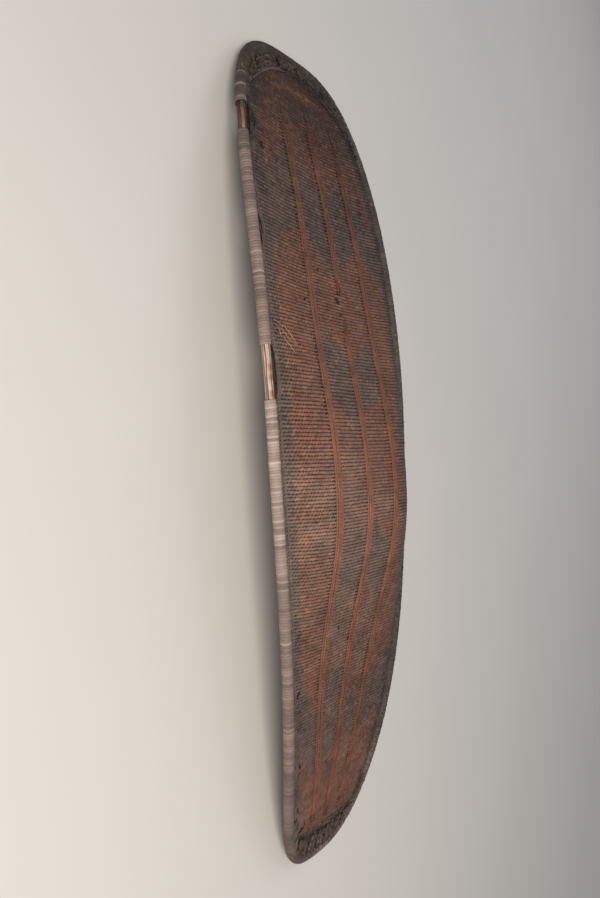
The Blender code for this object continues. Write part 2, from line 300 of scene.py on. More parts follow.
@dataclass
class ShieldForm:
    """Main surfaces of the shield, with the sizes that the solids have."""

    length: float = 1.300
    width: float = 0.390
    widest_y: float = 0.170
    top_powers: Pair = (3.0, 3.45)
    bottom_powers: Pair = (1.6, 3.1)
    bow_rise: float = 0.085
    bow_powers: Pair = (2.0, 3.0)
    dome_height: float = 0.0435
    dome_y: float = -0.087
    dome_reach_up: float = 0.220
    dome_reach_down: float = 0.175
    dome_side_power: float = 5.5
    rim_radius: float = 0.0085
    rod_radius: float = 0.006
    panel_gap: float = 0.0088
    edge_lift: float = 0.002
    panel_thickness: float = 0.006
    end_y: float = field(init=False)
    half: float = field(init=False)
    rim: RimLine = field(init=False)
    edge: tuple[Array, Array] = field(init=False)

    def __post_init__(self) -> None:
        """Work out the rim line and the panel's edge once."""
        self.end_y = self.length / 2 - self.rim_radius
        self.half = self.width / 2 - self.rim_radius
        self.rim = self.rim_stations(0.0008)
        inset = self.rim.place - self.rim.outward * self.panel_gap
        right = (inset[:, 0] > 0) & (self.rim.place[:, 0] > 0)
        order = np.argsort(inset[right, 1])
        self.edge = inset[right, 1][order], inset[right, 0][order]

    def bow(self, y: Array) -> Array:
        """Height of the rim's centre line above the floor."""
        share = np.clip(np.abs(y) / self.end_y, 0, 1)
        power = np.where(np.asarray(y) > 0, *self.bow_powers)
        return self.rim_radius + self.bow_rise * (1 - share ** power)

    def rim_half_width(self, y: Array) -> Array:
        """Half width of the rim's centre line."""
        y = np.asarray(y, dtype=float)
        above = y > self.widest_y
        run = np.where(above, self.end_y - self.widest_y, self.end_y + self.widest_y)
        share = np.clip(np.abs(y - self.widest_y) / run, 0, 1)
        side = np.where(above, self.top_powers[0], self.bottom_powers[0])
        end = np.where(above, self.top_powers[1], self.bottom_powers[1])
        return self.half * np.clip(1 - share ** side, 0, None) ** (1 / end)

    def rim_stations(self, step: float) -> RimLine:
        """Equally spaced places round the rim, from the bottom end up the right side.

        Args:
            step: Distance between neighbours along the rim.

        Returns:
            The places with their directions and runs.
        """
        swing = np.linspace(-math.pi / 2, math.pi / 2, 6000)
        y = self.end_y * np.sin(swing)
        right = vectors(self.rim_half_width(y), y, self.bow(y))
        left = right[::-1][1:-1] * (-1, 1, 1)
        loop = np.concatenate([right, left, right[:1]])
        run = np.concatenate([[0], np.cumsum(np.linalg.norm(np.diff(loop, axis=0), axis=1))])
        count = round(run[-1] / step)
        marks = np.arange(count) / count * run[-1]
        place = between(marks, run, loop)
        along = unit(np.roll(place, -1, axis=0) - np.roll(place, 1, axis=0))
        outward = unit(np.cross(along, (0.0, 0.0, 1.0)))
        return RimLine(place, along, outward, unit(np.cross(outward, along)), marks)

    def panel_half_width(self, y: Array) -> Array:
        """Half width of the woven panel."""
        return np.interp(y, *self.edge, left=0.0, right=0.0)

    def height(self, x: Array, y: Array) -> Array:
        """Height of the woven panel's middle surface."""
        x, y = np.asarray(x, dtype=float), np.asarray(y, dtype=float)
        share = np.clip(np.abs(x) / np.maximum(self.panel_half_width(y), 1e-6), 0, 1)
        reach = np.where(y > self.dome_y, self.dome_reach_up, self.dome_reach_down)
        dome = self.dome_height * np.exp(-((y - self.dome_y) / reach) ** 2)
        return self.bow(y) + self.edge_lift + dome * (1 - share ** self.dome_side_power)

    def normal(self, x: Array, y: Array) -> Array:
        """Direction square to the middle surface, on the front side."""
        d = 0.4 * MM
        limit = np.maximum(self.panel_half_width(y) - 1.5 * d, 0)
        x = np.clip(x, -limit, limit)
        slope_x = (self.height(x + d, y) - self.height(x - d, y)) / (2 * d)
        slope_y = (self.height(x, y + d) - self.height(x, y - d)) / (2 * d)
        return unit(vectors(-slope_x, -slope_y, 1.0))

    def surface(self, x: Array, y: Array, lift: Values = 0.0) -> Array:
        """Points above the middle surface, by a distance square to it."""
        flat = vectors(x, y, self.height(x, y))
        return flat + self.normal(x, y) * np.asarray(lift)[..., None]

    def end_outline(self, x: Array, top: bool) -> Array:
        """Place along the shield of the panel's edge at one end."""
        y, half = self.edge
        widest = int(np.argmax(half))
        across, along = (half[widest:], y[widest:]) if top else (half[:widest], y[:widest])
        order = np.argsort(across)
        return np.interp(np.abs(x), across[order], along[order])


@dataclass
class Layout:
    """Where the ribs and the end bands lie on the face, as the solids have them."""

    form: ShieldForm
    rib_places: Triple = (-0.088, -0.0045, 0.0785)
    rib_width: float = 0.014
    closing_top: float = 0.27
    closing_bottom: float = 0.73
    sway: float = 0.0114
    top_band_depth: float = 0.030
    top_band_radius: float = 0.150
    bottom_band_depth: float = 0.0495
    bottom_band_radius: float = 0.450
    left_border: Table = (
        (-0.64, 0.015), (-0.50, 0.015), (-0.30, 0.017), (-0.20, 0.013), (-0.10, 0.010),
        (0.0, 0.013), (0.10, 0.018), (0.20, 0.021), (0.30, 0.023), (0.45, 0.026), (0.52, 0.024),
        (0.60, 0.022))
    right_border: Table = (
        (-0.56, 0.012), (-0.50, 0.014), (-0.45, 0.024), (-0.40, 0.032), (-0.30, 0.028),
        (-0.23, 0.038), (-0.17, 0.062), (-0.05, 0.068), (0.03, 0.058), (0.12, 0.030),
        (0.20, 0.021), (0.30, 0.021), (0.45, 0.026), (0.55, 0.024), (0.60, 0.020))
    band_tip: float = 0.010

    def rib_x(self, place: float, y: Array) -> Array:
        """Place of a rib across the shield."""
        share = np.asarray(y) / self.form.end_y
        closing = np.where(share > 0, self.closing_top, self.closing_bottom)
        return place * (1 - closing * share ** 2) + self.sway * np.sin(math.pi * share)

    def band_edge(self, x: Array, top: bool) -> Array:
        """Place along the shield of an end band's inner edge."""
        x = np.asarray(x, dtype=float)
        if top:
            return self.form.end_y - self.top_band_depth - x * x / (2 * self.top_band_radius)
        return -self.form.end_y + self.bottom_band_depth + x * x / (2 * self.bottom_band_radius)

    def band_reach(self, top: bool) -> float:
        """Distance from the middle line at which an end band runs out."""
        x = np.linspace(0, self.form.half, 400)
        depth = np.abs(self.form.end_outline(x, top)) - np.abs(self.band_edge(x, top))
        return float(x[depth > self.band_tip].max())

    def row_y(self, x: Array, base: Array) -> Array:
        """Path of a woven row, which dips a little in the middle."""
        share = (np.asarray(x) / self.form.half) ** 2
        return base * (1 + 0.025 * share) + 0.0035 * share

    def row_span(self, x: Array, base: Array) -> Array:
        """Vector along a row, over one millimetre across the shield."""
        ahead, behind = (self.form.surface(x + d, self.row_y(x + d, base)) for d in (STEP, -STEP))
        return ahead - behind

    def borders(self, y: Array) -> tuple[Array, Array]:
        """Widths of the unstained borders on the left and on the right."""
        return look_up(self.left_border, y), look_up(self.right_border, y)

    def beside_rib(self, x: Array, y: Array) -> Array:
        """Distance of each place from the middle of the nearest rib."""
        return np.min([np.abs(x - self.rib_x(place, y)) for place in self.rib_places], axis=0)

    def bays(self, x: Array, y: Array) -> tuple[Array, Array]:
        """Bay between the ribs in which each place lies.

        Args:
            x: Places across the shield.
            y: Places along the shield.

        Returns:
            Bay number from 0 on the left to 3 on the right, and the share of the way
            across that bay, between a border or rib and the next.
        """
        edge = self.form.panel_half_width(y)
        left, right = self.borders(y)
        lines = np.stack([
            -edge + left, *(self.rib_x(p, y) for p in self.rib_places), edge - right])
        bay = np.clip(sum((x > line).astype(int) for line in lines[1:4]), 0, 3)
        start = np.take_along_axis(lines, bay[None], axis=0)[0]
        end = np.take_along_axis(lines, bay[None] + 1, axis=0)[0]
        return bay, (x - start) / np.maximum(end - start, MM)


# Stain and wear


@dataclass(frozen=True)
class Lozenge:
    """One dark lozenge of the stained pattern, which fills a bay from side to side.

    The four edges are places along the shield in millimetres, at the bay's left and right.
    """

    bay: int
    top: Pair
    bottom: Pair
    strength: float = 1.0


@dataclass(frozen=True)
class Hole:
    """A place where stitches are lost, with its middle and full sizes in millimetres."""

    x: float
    y: float
    across: float
    along: float


@dataclass(frozen=True)
class Patch:
    """A soft-edged patch, with its middle and half sizes in millimetres."""

    x: float
    y: float
    across: float
    along: float
    powers: Pair = (2, 2)

    def share(self, x_mm: Array, y_mm: Array) -> Array:
        """How far each place lies in the patch, from 0 to 1."""
        return np.exp(
            -np.abs((x_mm - self.x) / self.across) ** self.powers[0]
            - np.abs((y_mm - self.y) / self.along) ** self.powers[1])


@dataclass
class StainPattern:
    """Red stained cane with dark zigzags of lozenges between the ribs."""

    layout: Layout
    lozenges: tuple[Lozenge, ...] = tuple(Lozenge(*row) for row in (
        (0, (415, 478), (298, 348), 0.9), (1, (468, 400), (345, 270)),
        (2, (402, 455), (287, 342)), (3, (455, 385), (342, 268)),
        (1, (205, 138), (92, 25)), (2, (138, 182), (50, 96)),
        (1, (-148, -97), (-242, -200)), (2, (-93, -152), (-188, -243)),
        (0, (-325, -405), (-450, -498), 0.85), (1, (-350, -322), (-485, -437), 0.8),
        (2, (-366, -392), (-420, -468), 0.9), (3, (-374, -330), (-464, -415), 0.9)))
    holes: tuple[Hole, ...] = tuple(Hole(*row) for row in (
        (-4, 238, 10, 9), (1, 216, 9, 5), (-93, 230, 6, 6), (-137, 450, 9, 9),
        (-100, 590, 10, 6), (-110, -457, 8, 8), (-96, -531, 7, 7),
        (-133, -343, 8, 6), (-23, -283, 7, 5), (-22, -222, 5, 7),
        (-45, 283, 8, 6), (56, -223, 6, 6), (-57, -262, 5, 5), (2, -101, 8, 5),
        (122, 412, 8, 5), (-174, 318, 9, 34), (-148, 492, 8, 46),
        (-176, 116, 6, 70), (136, 14, 12, 8), (129, -46, 8, 6),
        (138, -118, 13, 9), (133, -161, 7, 10), (-79, -581, 7, 9),
        (-73, -575, 7, 9), (-67, -569, 7, 9)))
    stained: float = 0.80
    plain: float = 0.16
    ragged: float = 1.8
    soft_edge: float = 7.0
    soft_border: float = 5.0
    lightness: Table = (
        (-640, 0.70), (-530, 0.85), (-400, 0.76), (-290, 0.94), (-180, 1.11), (-110, 1.27),
        (0, 1.20), (125, 1.06), (250, 0.94), (375, 0.72), (480, 0.56), (560, 0.30), (600, 0.24))
    bare_spots: tuple[Patch, ...] = tuple(Patch(*row) for row in (
        (-145, 172, 16, 24), (-118, 12, 40, 26), (-28, 168, 12, 28),
        (-132, 470, 14, 22), (50, -262, 14, 10), (60, -245, 16, 12)))
    faded_crown: Patch = Patch(-80, -90, 100, 130)
    rubbed_crown: Patch = Patch(-100, -90, 60, 150)
    worn_middle: Patch = Patch(-8, -292, 75, 52, (4, 4))
    red_streak: Patch = Patch(-10, 583, 68, 9.5, (4, 2))

    def dye(self, x: Array, y: Array, rng: Random) -> Array:
        """How much red stain each place holds.

        Args:
            x: Places across the shield.
            y: Places along the shield.
            rng: Source of the small differences between stitches.

        Returns:
            0 for smoke-dark plain cane, 0.8 for full red, 1 where bare orange cane shows.
        """
        x_mm, y_mm = x / MM, y / MM
        bay, share = self.layout.bays(x, y)
        part = np.clip(share, 0, 1)
        # Stain has crept along the strands, so its edges are soft and uneven
        level = y_mm + 4.5 * patchiness(x, y, 0.017, 9.2) + rng.normal(0, self.ragged, x.size)
        dye = self.stained + 0.04 - 0.14 * rng.random(x.size)
        dye -= 0.16 * np.clip(patchiness(x, y, 0.055, 3.1) + 0.1, 0, 1)
        dye = np.minimum(dye + 0.20 * patchiness(x * 0.12, y, 0.0047, 8.8), 0.87)
        dye -= 0.30 * self.faded_crown.share(x_mm, y_mm)
        for spot in self.lozenges:
            upper = spot.top[0] + (spot.top[1] - spot.top[0]) * part
            lower = spot.bottom[0] + (spot.bottom[1] - spot.bottom[0]) * part
            inside = (ease((upper - level) / self.soft_edge + 0.5)
                      * ease((level - lower) / self.soft_edge + 0.5) * (bay == spot.bay))
            dye += (self.plain - dye) * inside * spot.strength
        # Rubbed middle of the lower half, where the stain is half gone
        worn = self.worn_middle.share(x_mm, y_mm)
        dye -= 0.22 * worn * (0.6 + 0.8 * rng.random(x.size)) * np.where(dye > 0.4, 1, 0)
        # Orange cane shows through the stain in a few places
        for spot in self.bare_spots:
            dye += 0.22 * spot.share(x_mm, y_mm) * rng.random(x.size)
        # Browner field next to the top end band, with a redder streak in it
        top_gap = self.layout.band_edge(x, True) - y
        brown = np.clip(1 - (top_gap - 0.055) / 0.05, 0, 1)
        dye += brown * (0.70 - dye) * 0.8
        dye += self.red_streak.share(x_mm, y_mm) * (0.92 - dye) * 0.9
        edge = self.layout.form.panel_half_width(y)
        left, right = self.layout.borders(y)
        wander = 3.0 * MM * patchiness(x, y, 0.025, 4.4) + rng.normal(0, 0.8 * MM, x.size)
        soft = self.soft_border * MM
        border = (ease((-edge + left - x - wander) / soft + 0.5)
                  + ease((x - edge + right + wander) / soft + 0.5))
        dye += border * (0.05 * rng.random(x.size) - dye)
        return np.clip(dye, 0, 1)

    def tone(self, x: Array, y: Array, rng: Random) -> Array:
        """How light each stitch is, up to 1 and about 0.5 on average."""
        x_mm, y_mm = x / MM, y / MM
        tone = 0.5 + rng.normal(0, 0.095, x.size) + 0.20 * (rng.random(x.size) < 0.03)
        tone += 0.10 * patchiness(x, y, 0.030, 7.7) + 0.09 * patchiness(x, y, 0.110, 1.3)
        # Some rows are of paler cane than their neighbours for a few centimetres
        tone += 0.13 * patchiness(x * 0.10, y, 0.0043, 2.6)
        # A patch on the left of the bulge's crown is paler; the table of lightness along the
        # shield darkens both ends, at the top end as painted shade
        tone += 0.17 * self.rubbed_crown.share(x_mm, y_mm)
        tone += 0.80 * (look_up(self.lightness, y_mm) - 1)
        # Painted shade: the right side, the right flank of the bulge and the strip along the right
        # edge are darker, as they face away from the light; the left edge beside the middle is
        # darker too
        tone -= 0.05 * np.clip(x_mm / 120, 0, 1)
        tone -= 0.22 * np.clip((x_mm - 50) / 45, 0, 1) * np.exp(-((y_mm + 45) / 145) ** 2)
        far = x - self.layout.form.panel_half_width(y) + 0.022
        tone -= 0.16 * ease(far / 0.012)
        tone -= 0.10 * np.clip((-x_mm - 135) / 20, 0, 1) * np.exp(-(y_mm / 90) ** 2)
        tone += 0.30 * self.red_streak.share(x_mm, y_mm)
        return np.clip(tone, -0.10, 1)

    def lost(self, x: Array, y: Array) -> Array:
        """Whether a stitch is missing."""
        gone = np.zeros(x.size, dtype=bool)
        for hole in self.holes:
            reach = ((x / MM - hole.x) / hole.across) ** 2 + ((y / MM - hole.y) / hole.along) ** 2
            gone |= reach < 0.25
        return gone


# Finishes


def new_material(name: str) -> tuple[Material, NodeTree, NodeSocket]:
    """A material with an empty tree, and a socket with the places on the piece."""
    material = bpy.data.materials.new(name)
    material.use_nodes = True
    tree = material.node_tree
    tree.nodes.clear()
    return material, tree, add(tree, "ShaderNodeTexCoord").outputs["Object"]


@dataclass(frozen=True)
class CaneFinish:
    """Split rattan cane, woven, with stain and handling dirt.

    Skin of cane is smooth and hard, so it has a satin gloss. Where the strands meet, stain,
    dirt and painted shade darken the groove colours, and handling rubs the crowns paler.
    Each string of colours runs from plain smoke-dark cane through half and full stain to
    bare orange cane.
    """

    name: str
    crowns: str
    grooves: str
    wear: Pair = (0.55, 1.0)
    roughness: Pair = (0.52, 0.74)
    skin: float = 0.32
    fibre: float = 0.22
    tone_reach: float = 0.62
    dirt_size: float = 0.035

    STOPS = (0.0, 0.45, 0.80, 1.0)

    def ramp(self, tree: NodeTree, dye: NodeSocket, colours: str) -> Node:
        """Colour that follows the amount of stain.

        Args:
            tree: The material's tree.
            dye: Socket with the amount of stain.
            colours: Colours at no stain, half stain, full stain and bare cane.

        Returns:
            Node with the colour.
        """
        ramp = add(tree, "ShaderNodeValToRGB", {"Fac": dye})
        stops = ramp.color_ramp.elements
        for index, (position, colour) in enumerate(zip(self.STOPS, colours.split())):
            stop = stops[index] if index < 2 else stops.new(position)
            stop.position = position
            stop.color = linear(colour)
        return ramp

    def make(self) -> Material:
        """Build the material, which reads each strand's dye, tone and crown marks."""
        material, tree, place = new_material(self.name)
        dye, tone, crown = (
            add(tree, "ShaderNodeAttribute", attribute_name=mark).outputs["Fac"]
            for mark in ("dye", "tone", "crown"))
        # Wear comes in patches a few centimetres wide
        patches = add(tree, "ShaderNodeTexNoise", {
            "Vector": place, "Scale": 1 / self.dirt_size, "Detail": 4.0, "Roughness": 0.6})
        most, gloss = (
            add(tree, "ShaderNodeMapRange", {
                "Value": patches, "From Min": 0.3, "From Max": 0.7, "To Min": low, "To Max": high})
            for low, high in (self.wear, self.roughness))
        # Low parts of each strand take the groove colours, which are dirt with painted shade;
        # crowns take the crown colours and wear paler
        height = add(
            tree, "ShaderNodeMapRange", {"Value": crown, "From Min": 0.05, "From Max": 0.95},
            interpolation_type="SMOOTHSTEP")
        worn = add(tree, "ShaderNodeMath", {0: height, 1: most}, operation="MULTIPLY")
        mixed = add(tree, "ShaderNodeMix", {
            0: worn, 6: self.ramp(tree, dye, self.grooves),
            7: self.ramp(tree, dye, self.crowns)}, data_type="RGBA")
        # Fibres of cane lie 0.5 mm apart; drawn 2 mm apart so that they still show
        fibres = add(tree, "ShaderNodeTexNoise", {"Vector": place, "Scale": 480.0, "Detail": 2.0})
        # Tone lightens or darkens a whole strand, and the fibres streak it
        level, streak = (
            add(
                tree, "ShaderNodeMapRange",
                {"Value": value, "To Min": 1 - reach, "To Max": 1 + reach}, clamp=clamp)
            for value, reach, clamp in (
                (tone, self.tone_reach, False), (fibres, self.fibre, True)))
        shade = add(tree, "ShaderNodeMath", {0: level, 1: streak}, operation="MULTIPLY")
        colour = add(
            tree, "ShaderNodeMix", {0: 1.0, 6: mixed.outputs[2], 7: shade}, data_type="RGBA",
            blend_type="MULTIPLY")
        bump = add(tree, "ShaderNodeBump", {
            "Height": fibres, "Strength": 0.25, "Distance": 0.0004})
        shader = add(tree, "ShaderNodeBsdfPrincipled", {
            "Base Color": colour.outputs[2], "Roughness": gloss, "Normal": bump, "IOR": 1.5,
            "Metallic": 0.0, "Specular IOR Level": self.skin})
        add(tree, "ShaderNodeOutputMaterial", {"Surface": shader})
        return material


@dataclass(frozen=True)
class WoodFinish:
    """Hardwood, carved and polished by handling, with its grain along Y."""

    name: str
    dark: str
    light: str
    ring_spacing: float = 0.006

    def make(self) -> Material:
        """Build the material: stretched grain, a few darker pores, a soft sheen."""
        material, tree, place = new_material(self.name)
        stretched = add(tree, "ShaderNodeMapping", {"Vector": place, "Scale": (1.0, 0.08, 1.0)})
        grain = add(tree, "ShaderNodeTexNoise", {
            "Vector": stretched, "Scale": 1 / self.ring_spacing, "Detail": 6.0, "Distortion": 0.6})
        ramp = add(tree, "ShaderNodeValToRGB", {"Fac": grain})
        for stop, position, colour in zip(
                ramp.color_ramp.elements, (0.35, 0.66), (self.dark, self.light)):
            stop.position = position
            stop.color = linear(colour)
        gloss = add(tree, "ShaderNodeMapRange", {"Value": grain, "To Min": 0.52, "To Max": 0.34})
        bump = add(tree, "ShaderNodeBump", {"Height": grain, "Strength": 0.2, "Distance": 0.0005})
        shader = add(tree, "ShaderNodeBsdfPrincipled", {
            "Base Color": ramp, "Roughness": gloss, "Normal": bump, "IOR": 1.5})
        add(tree, "ShaderNodeOutputMaterial", {"Surface": shader})
        return material


@dataclass
class Finishes:
    """Every finish on the shield, made once."""

    weave: Material
    ground: Material
    rib: Material
    binding: Material
    rod: Material
    band: Material
    wood: Material

    @classmethod
    def make(cls) -> "Finishes":
        """Make the materials."""
        return cls(
            weave=CaneFinish(
                "stained cane weave", crowns="726259 866d5e 8b6251 9c7250",
                grooves="2d2421 3e2d26 4c2b21 57351f").make(),
            ground=CaneFinish(
                "shadowed ground weave", crowns="38302c 40312b 482e26 4e3324",
                grooves="1d1815 221714 281814 2c1c15").make(),
            rib=CaneFinish(
                "red stained cane rib", crowns="5c4a40 6f5145 825644 956248",
                grooves="261d19 33221b 40251c 482a1b").make(),
            binding=CaneFinish(
                "weathered cane strip", crowns="554c46 776963 9c8981 c6b6ac",
                grooves="332c28 443a35 63544d 8f7e74", roughness=(0.48, 0.68),
                tone_reach=0.45).make(),
            # The rod's pale third colour stands partly for a painted highlight on the lower bare
            # place
            rod=CaneFinish(
                "bare rattan rod", crowns="4c3e35 7a6356 c9b0a0 b8744a",
                grooves="1c1411 281b15 4a352a 4a2c1a", wear=(0.85, 1.0),
                tone_reach=0.45).make(),
            band=CaneFinish(
                "smoke dark cane lashing", crowns="3d3430 584b43 776458 9c8470",
                grooves="161210 1f1916 2d2520 3c322b", tone_reach=0.45).make(),
            wood=WoodFinish("handled hardwood", dark="33201a", light="5e3d2b").make())


# Geometry node recipes


class Recipe:
    """A Geometry Nodes tree with named inputs, run once on a mesh and baked."""

    SOCKETS = {float: "NodeSocketFloat", int: "NodeSocketInt", Material: "NodeSocketMaterial"}

    def __init__(self, name: str, inputs: dict[str, type]) -> None:
        """Start the tree.

        Args:
            name: Name of the tree.
            inputs: Name and type of each input after the geometry.
        """
        self.tree = bpy.data.node_groups.new(name, "GeometryNodeTree")
        interface = self.tree.interface
        for way in ("INPUT", "OUTPUT"):
            interface.new_socket("Geometry", in_out=way, socket_type="NodeSocketGeometry")
        self.sockets = {}
        for label, kind in inputs.items():
            socket = interface.new_socket(label, in_out="INPUT", socket_type=self.SOCKETS[kind])
            self.sockets[label] = socket.identifier
        self.start = add(self.tree, "NodeGroupInput")

    def put(self, kind: str, links: dict[Any, Any] | None = None, **settings: Any) -> Node:
        """Add a node to this tree."""
        return add(self.tree, kind, links, **settings)

    def given(self, label: str) -> NodeSocket:
        """Socket that carries one of the tree's named inputs."""
        return self.start.outputs[label]

    def mark(self, name: str, vector: bool = False) -> NodeSocket:
        """Socket with a named value that the points carry."""
        kind = "FLOAT_VECTOR" if vector else "FLOAT"
        read = self.put("GeometryNodeInputNamedAttribute", {"Name": name}, data_type=kind)
        return next(s for s in read.outputs if s.enabled and s.name == "Attribute")

    def axes(self) -> Node:
        """Node with the place of each point along X, Y and Z."""
        return self.put("ShaderNodeSeparateXYZ", {0: self.put("GeometryNodeInputPosition")})

    def keep_crown(self, geometry: Node, value: NodeSocket, low: float, high: float) -> Node:
        """Keep how far each point stands out as the crown mark, for the finish.

        Args:
            geometry: Node with the unit or section.
            value: Socket with what the crown mark follows.
            low: Value at which the groove ends.
            high: Value at which the crown is full.

        Returns:
            Node with the marked geometry.
        """
        # The finish paints points with a low crown mark in its groove colours, as painted shade in
        # the hollows between strands
        level = self.put("ShaderNodeMapRange", {"Value": value, "From Min": low, "From Max": high})
        return self.put("GeometryNodeStoreNamedAttribute", {
            "Geometry": geometry, "Name": "crown", "Value": level},
            data_type="FLOAT", domain="POINT")

    def close(self, geometry: Node, spent: Sequence[str]) -> None:
        """End the tree: drop spent marks, shade smooth, set the material.

        Args:
            geometry: What the tree has made so far.
            spent: Names of the marks that the finish doesn't read.
        """
        for name in spent:
            geometry = self.put("GeometryNodeRemoveAttribute", {
                "Geometry": geometry, "Name": name})
        smooth = self.put("GeometryNodeSetShadeSmooth", {"Geometry": geometry})
        real = self.put("GeometryNodeRealizeInstances", {"Geometry": smooth})
        dressed = self.put("GeometryNodeSetMaterial", {
            "Geometry": real, "Material": self.given("Finish")})
        self.put("NodeGroupOutput", {0: dressed})

    def bake(self, name: str, source: Mesh, values: dict[str, Any]) -> Object:
        """Run the tree on a mesh.

        Args:
            name: Name of the finished piece.
            source: Points or lines that the tree works on.
            values: Value of each named input.

        Returns:
            The piece as a plain mesh, without its modifier.
        """
        item = add_object(name, source)
        modifier = item.modifiers.new("layout", "NODES")
        modifier.node_group = self.tree
        for label, value in values.items():
            modifier[self.sockets[label]] = value
        graph = bpy.context.evaluated_depsgraph_get()
        mesh = bpy.data.meshes.new_from_object(
            item.evaluated_get(graph), preserve_all_data_layers=True, depsgraph=graph)
        item.modifiers.clear()
        item.data = mesh
        mesh.name = name
        bpy.data.meshes.remove(source)
        log.info("%s: %d faces", name, len(mesh.polygons))
        return item


@dataclass
class Stitches(Rows):
    """Places for closed units of cane, each with its directions, size and colour."""

    place: Array
    along: Array
    out: Array
    size: Array
    dye: Array
    tone: Array


class UnitShape(Enum):
    """Closed unit that a stitch recipe repeats."""

    GRAIN = "grain"
    RING = "ring"


# Turns a unit's own Z axis to X
TO_X = (0.0, math.pi / 2, 0.0)


class StitchRecipe(Recipe):
    """Sets a grain of cane, or one turn of strip, on every point."""

    def __init__(self, shape: UnitShape) -> None:
        """Build the tree for one unit."""
        super().__init__(f"cane {shape.value}s", {
            "Facets": int, "Slant": float, "Wobble": float, "Spread": float, "Seed": int,
            "Finish": Material})
        made = self.grain() if shape is UnitShape.GRAIN else self.ring()
        wobble, spread, seed = (self.given(name) for name in ("Wobble", "Spread", "Seed"))
        turn = self.put("FunctionNodeAxesToRotation", {
            "Primary Axis": self.mark("along", True), "Secondary Axis": self.mark("out", True)},
            primary_axis="X", secondary_axis="Z")
        minus, least, most, next_seed = (
            self.put("ShaderNodeMath", {0: first, 1: second}, operation=kind)
            for first, second, kind in (
                (0.0, wobble, "SUBTRACT"), (1.0, spread, "SUBTRACT"), (1.0, spread, "ADD"),
                (seed, 1.0, "ADD")))
        sway = self.put("FunctionNodeRandomValue", {2: minus, 3: wobble, "Seed": seed})
        angle = self.put(
            "ShaderNodeMath", {0: sway.outputs[1], 1: self.given("Slant")}, operation="ADD")
        twist = self.put("FunctionNodeAxisAngleToRotation", {
            "Axis": (0.0, 0.0, 1.0), "Angle": angle})
        turned = self.put("FunctionNodeRotateRotation", {
            "Rotation": turn, "Rotate By": twist}, rotation_space="LOCAL")
        grow = self.put("FunctionNodeRandomValue", {2: least, 3: most, "Seed": next_seed})
        size = self.put("ShaderNodeVectorMath", {
            0: self.mark("size", True), "Scale": grow.outputs[1]}, operation="SCALE")
        placed = self.put("GeometryNodeInstanceOnPoints", {
            "Points": self.given("Geometry"), "Instance": made, "Rotation": turned, "Scale": size})
        self.close(placed, ("along", "out", "size"))

    def grain(self) -> Node:
        """A grain one long, one wide and one high, pointed along X."""
        ball = self.put("GeometryNodeMeshUVSphere", {
            "Segments": self.given("Facets"), "Rings": 3, "Radius": 0.5})
        laid = self.put("GeometryNodeTransform", {"Geometry": ball, "Rotation": TO_X})
        return self.keep_crown(laid, self.axes().outputs["Z"], -0.1, 0.40)

    def ring(self) -> Node:
        """One closed turn of strip about X, with a radius of one at its crown.

        Its width is that of a strip one unit wide, so the size mark scales them apart.
        """
        circle = self.put("GeometryNodeCurvePrimitiveCircle", {
            "Resolution": self.given("Facets"), "Radius": 0.956})
        profile = self.put("GeometryNodeCurvePrimitiveQuadrilateral", {
            "Width": 0.088, "Height": 1.0}, mode="RECTANGLE")
        swept = self.put("GeometryNodeCurveToMesh", {"Curve": circle, "Profile Curve": profile})
        stood = self.put("GeometryNodeTransform", {"Geometry": swept, "Rotation": TO_X})
        place = self.axes()
        spoke = self.put("ShaderNodeCombineXYZ", {
            "Y": place.outputs["Y"], "Z": place.outputs["Z"]})
        reach = self.put("ShaderNodeVectorMath", {0: spoke}, operation="LENGTH")
        return self.keep_crown(stood, reach.outputs["Value"], 0.92, 1.0)


@dataclass
class Strand(Rows):
    """Path of a strand of cane, with its facing, girth and colour at each point."""

    path: Array
    out: Array
    girth: Array
    dye: Values
    tone: Values

    def __post_init__(self) -> None:
        """Give every point its stain and tone."""
        self.dye, self.tone = (np.broadcast_to(v, len(self.path)) for v in (self.dye, self.tone))


class StrandRecipe(Recipe):
    """Sweeps a flattened strand of cane along every line of a mesh."""

    def __init__(self) -> None:
        """Build the tree."""
        super().__init__("cane strands", {
            "Width": float, "Height": float, "Facets": int, "Finish": Material})
        line = self.put("GeometryNodeMeshToCurve", {"Mesh": self.given("Geometry")})
        faced = self.put("GeometryNodeSetCurveNormal", {
            "Curve": line, "Normal": self.mark("out", True)}, mode="FREE")
        circle = self.put("GeometryNodeCurvePrimitiveCircle", {
            "Resolution": self.given("Facets"), "Radius": 0.5})
        marked = self.keep_crown(circle, self.axes().outputs["X"], -0.15, 0.45)
        size = self.put("ShaderNodeCombineXYZ", {
            "X": self.given("Height"), "Y": self.given("Width"), "Z": 1.0})
        profile = self.put("GeometryNodeTransform", {"Geometry": marked, "Scale": size})
        swept = self.put("GeometryNodeCurveToMesh", {
            "Curve": faced, "Profile Curve": profile, "Scale": self.mark("girth"),
            "Fill Caps": True})
        self.close(swept, ("out", "girth"))

    def sweep(self, name: str, strands: Sequence[Strand], finish: Material, width: float,
              height: float, slot: str, *nodes: str, facets: int = 8) -> None:
        """Make and place one piece from several strands of the same section.

        Args:
            name: Name of the piece.
            strands: Paths with their facing, girth and colour.
            finish: Material of the piece.
            width: Full width of a strand where its girth is one.
            height: Full height of a strand where its girth is one.
            slot: Material slot of the piece; not used.
            *nodes: Solids that it stands for.
            facets: Number of sides of the section.
        """
        edges = []
        count = 0
        for strand in strands:
            edges += [(count + i, count + i + 1) for i in range(len(strand.path) - 1)]
            count += len(strand.path)
        piece = self.bake(name, Strand.join(*strands).mesh(name, edges), {
            "Width": width, "Height": height, "Facets": facets, "Finish": finish})
        place_piece(piece, slot, *nodes)


def place_piece(piece: Object, slot: str, *nodes: str) -> None:
    """Fix a piece to the body and let it stand for solids, which it hides."""
    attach(piece, BODY)
    if nodes:
        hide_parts(*nodes)


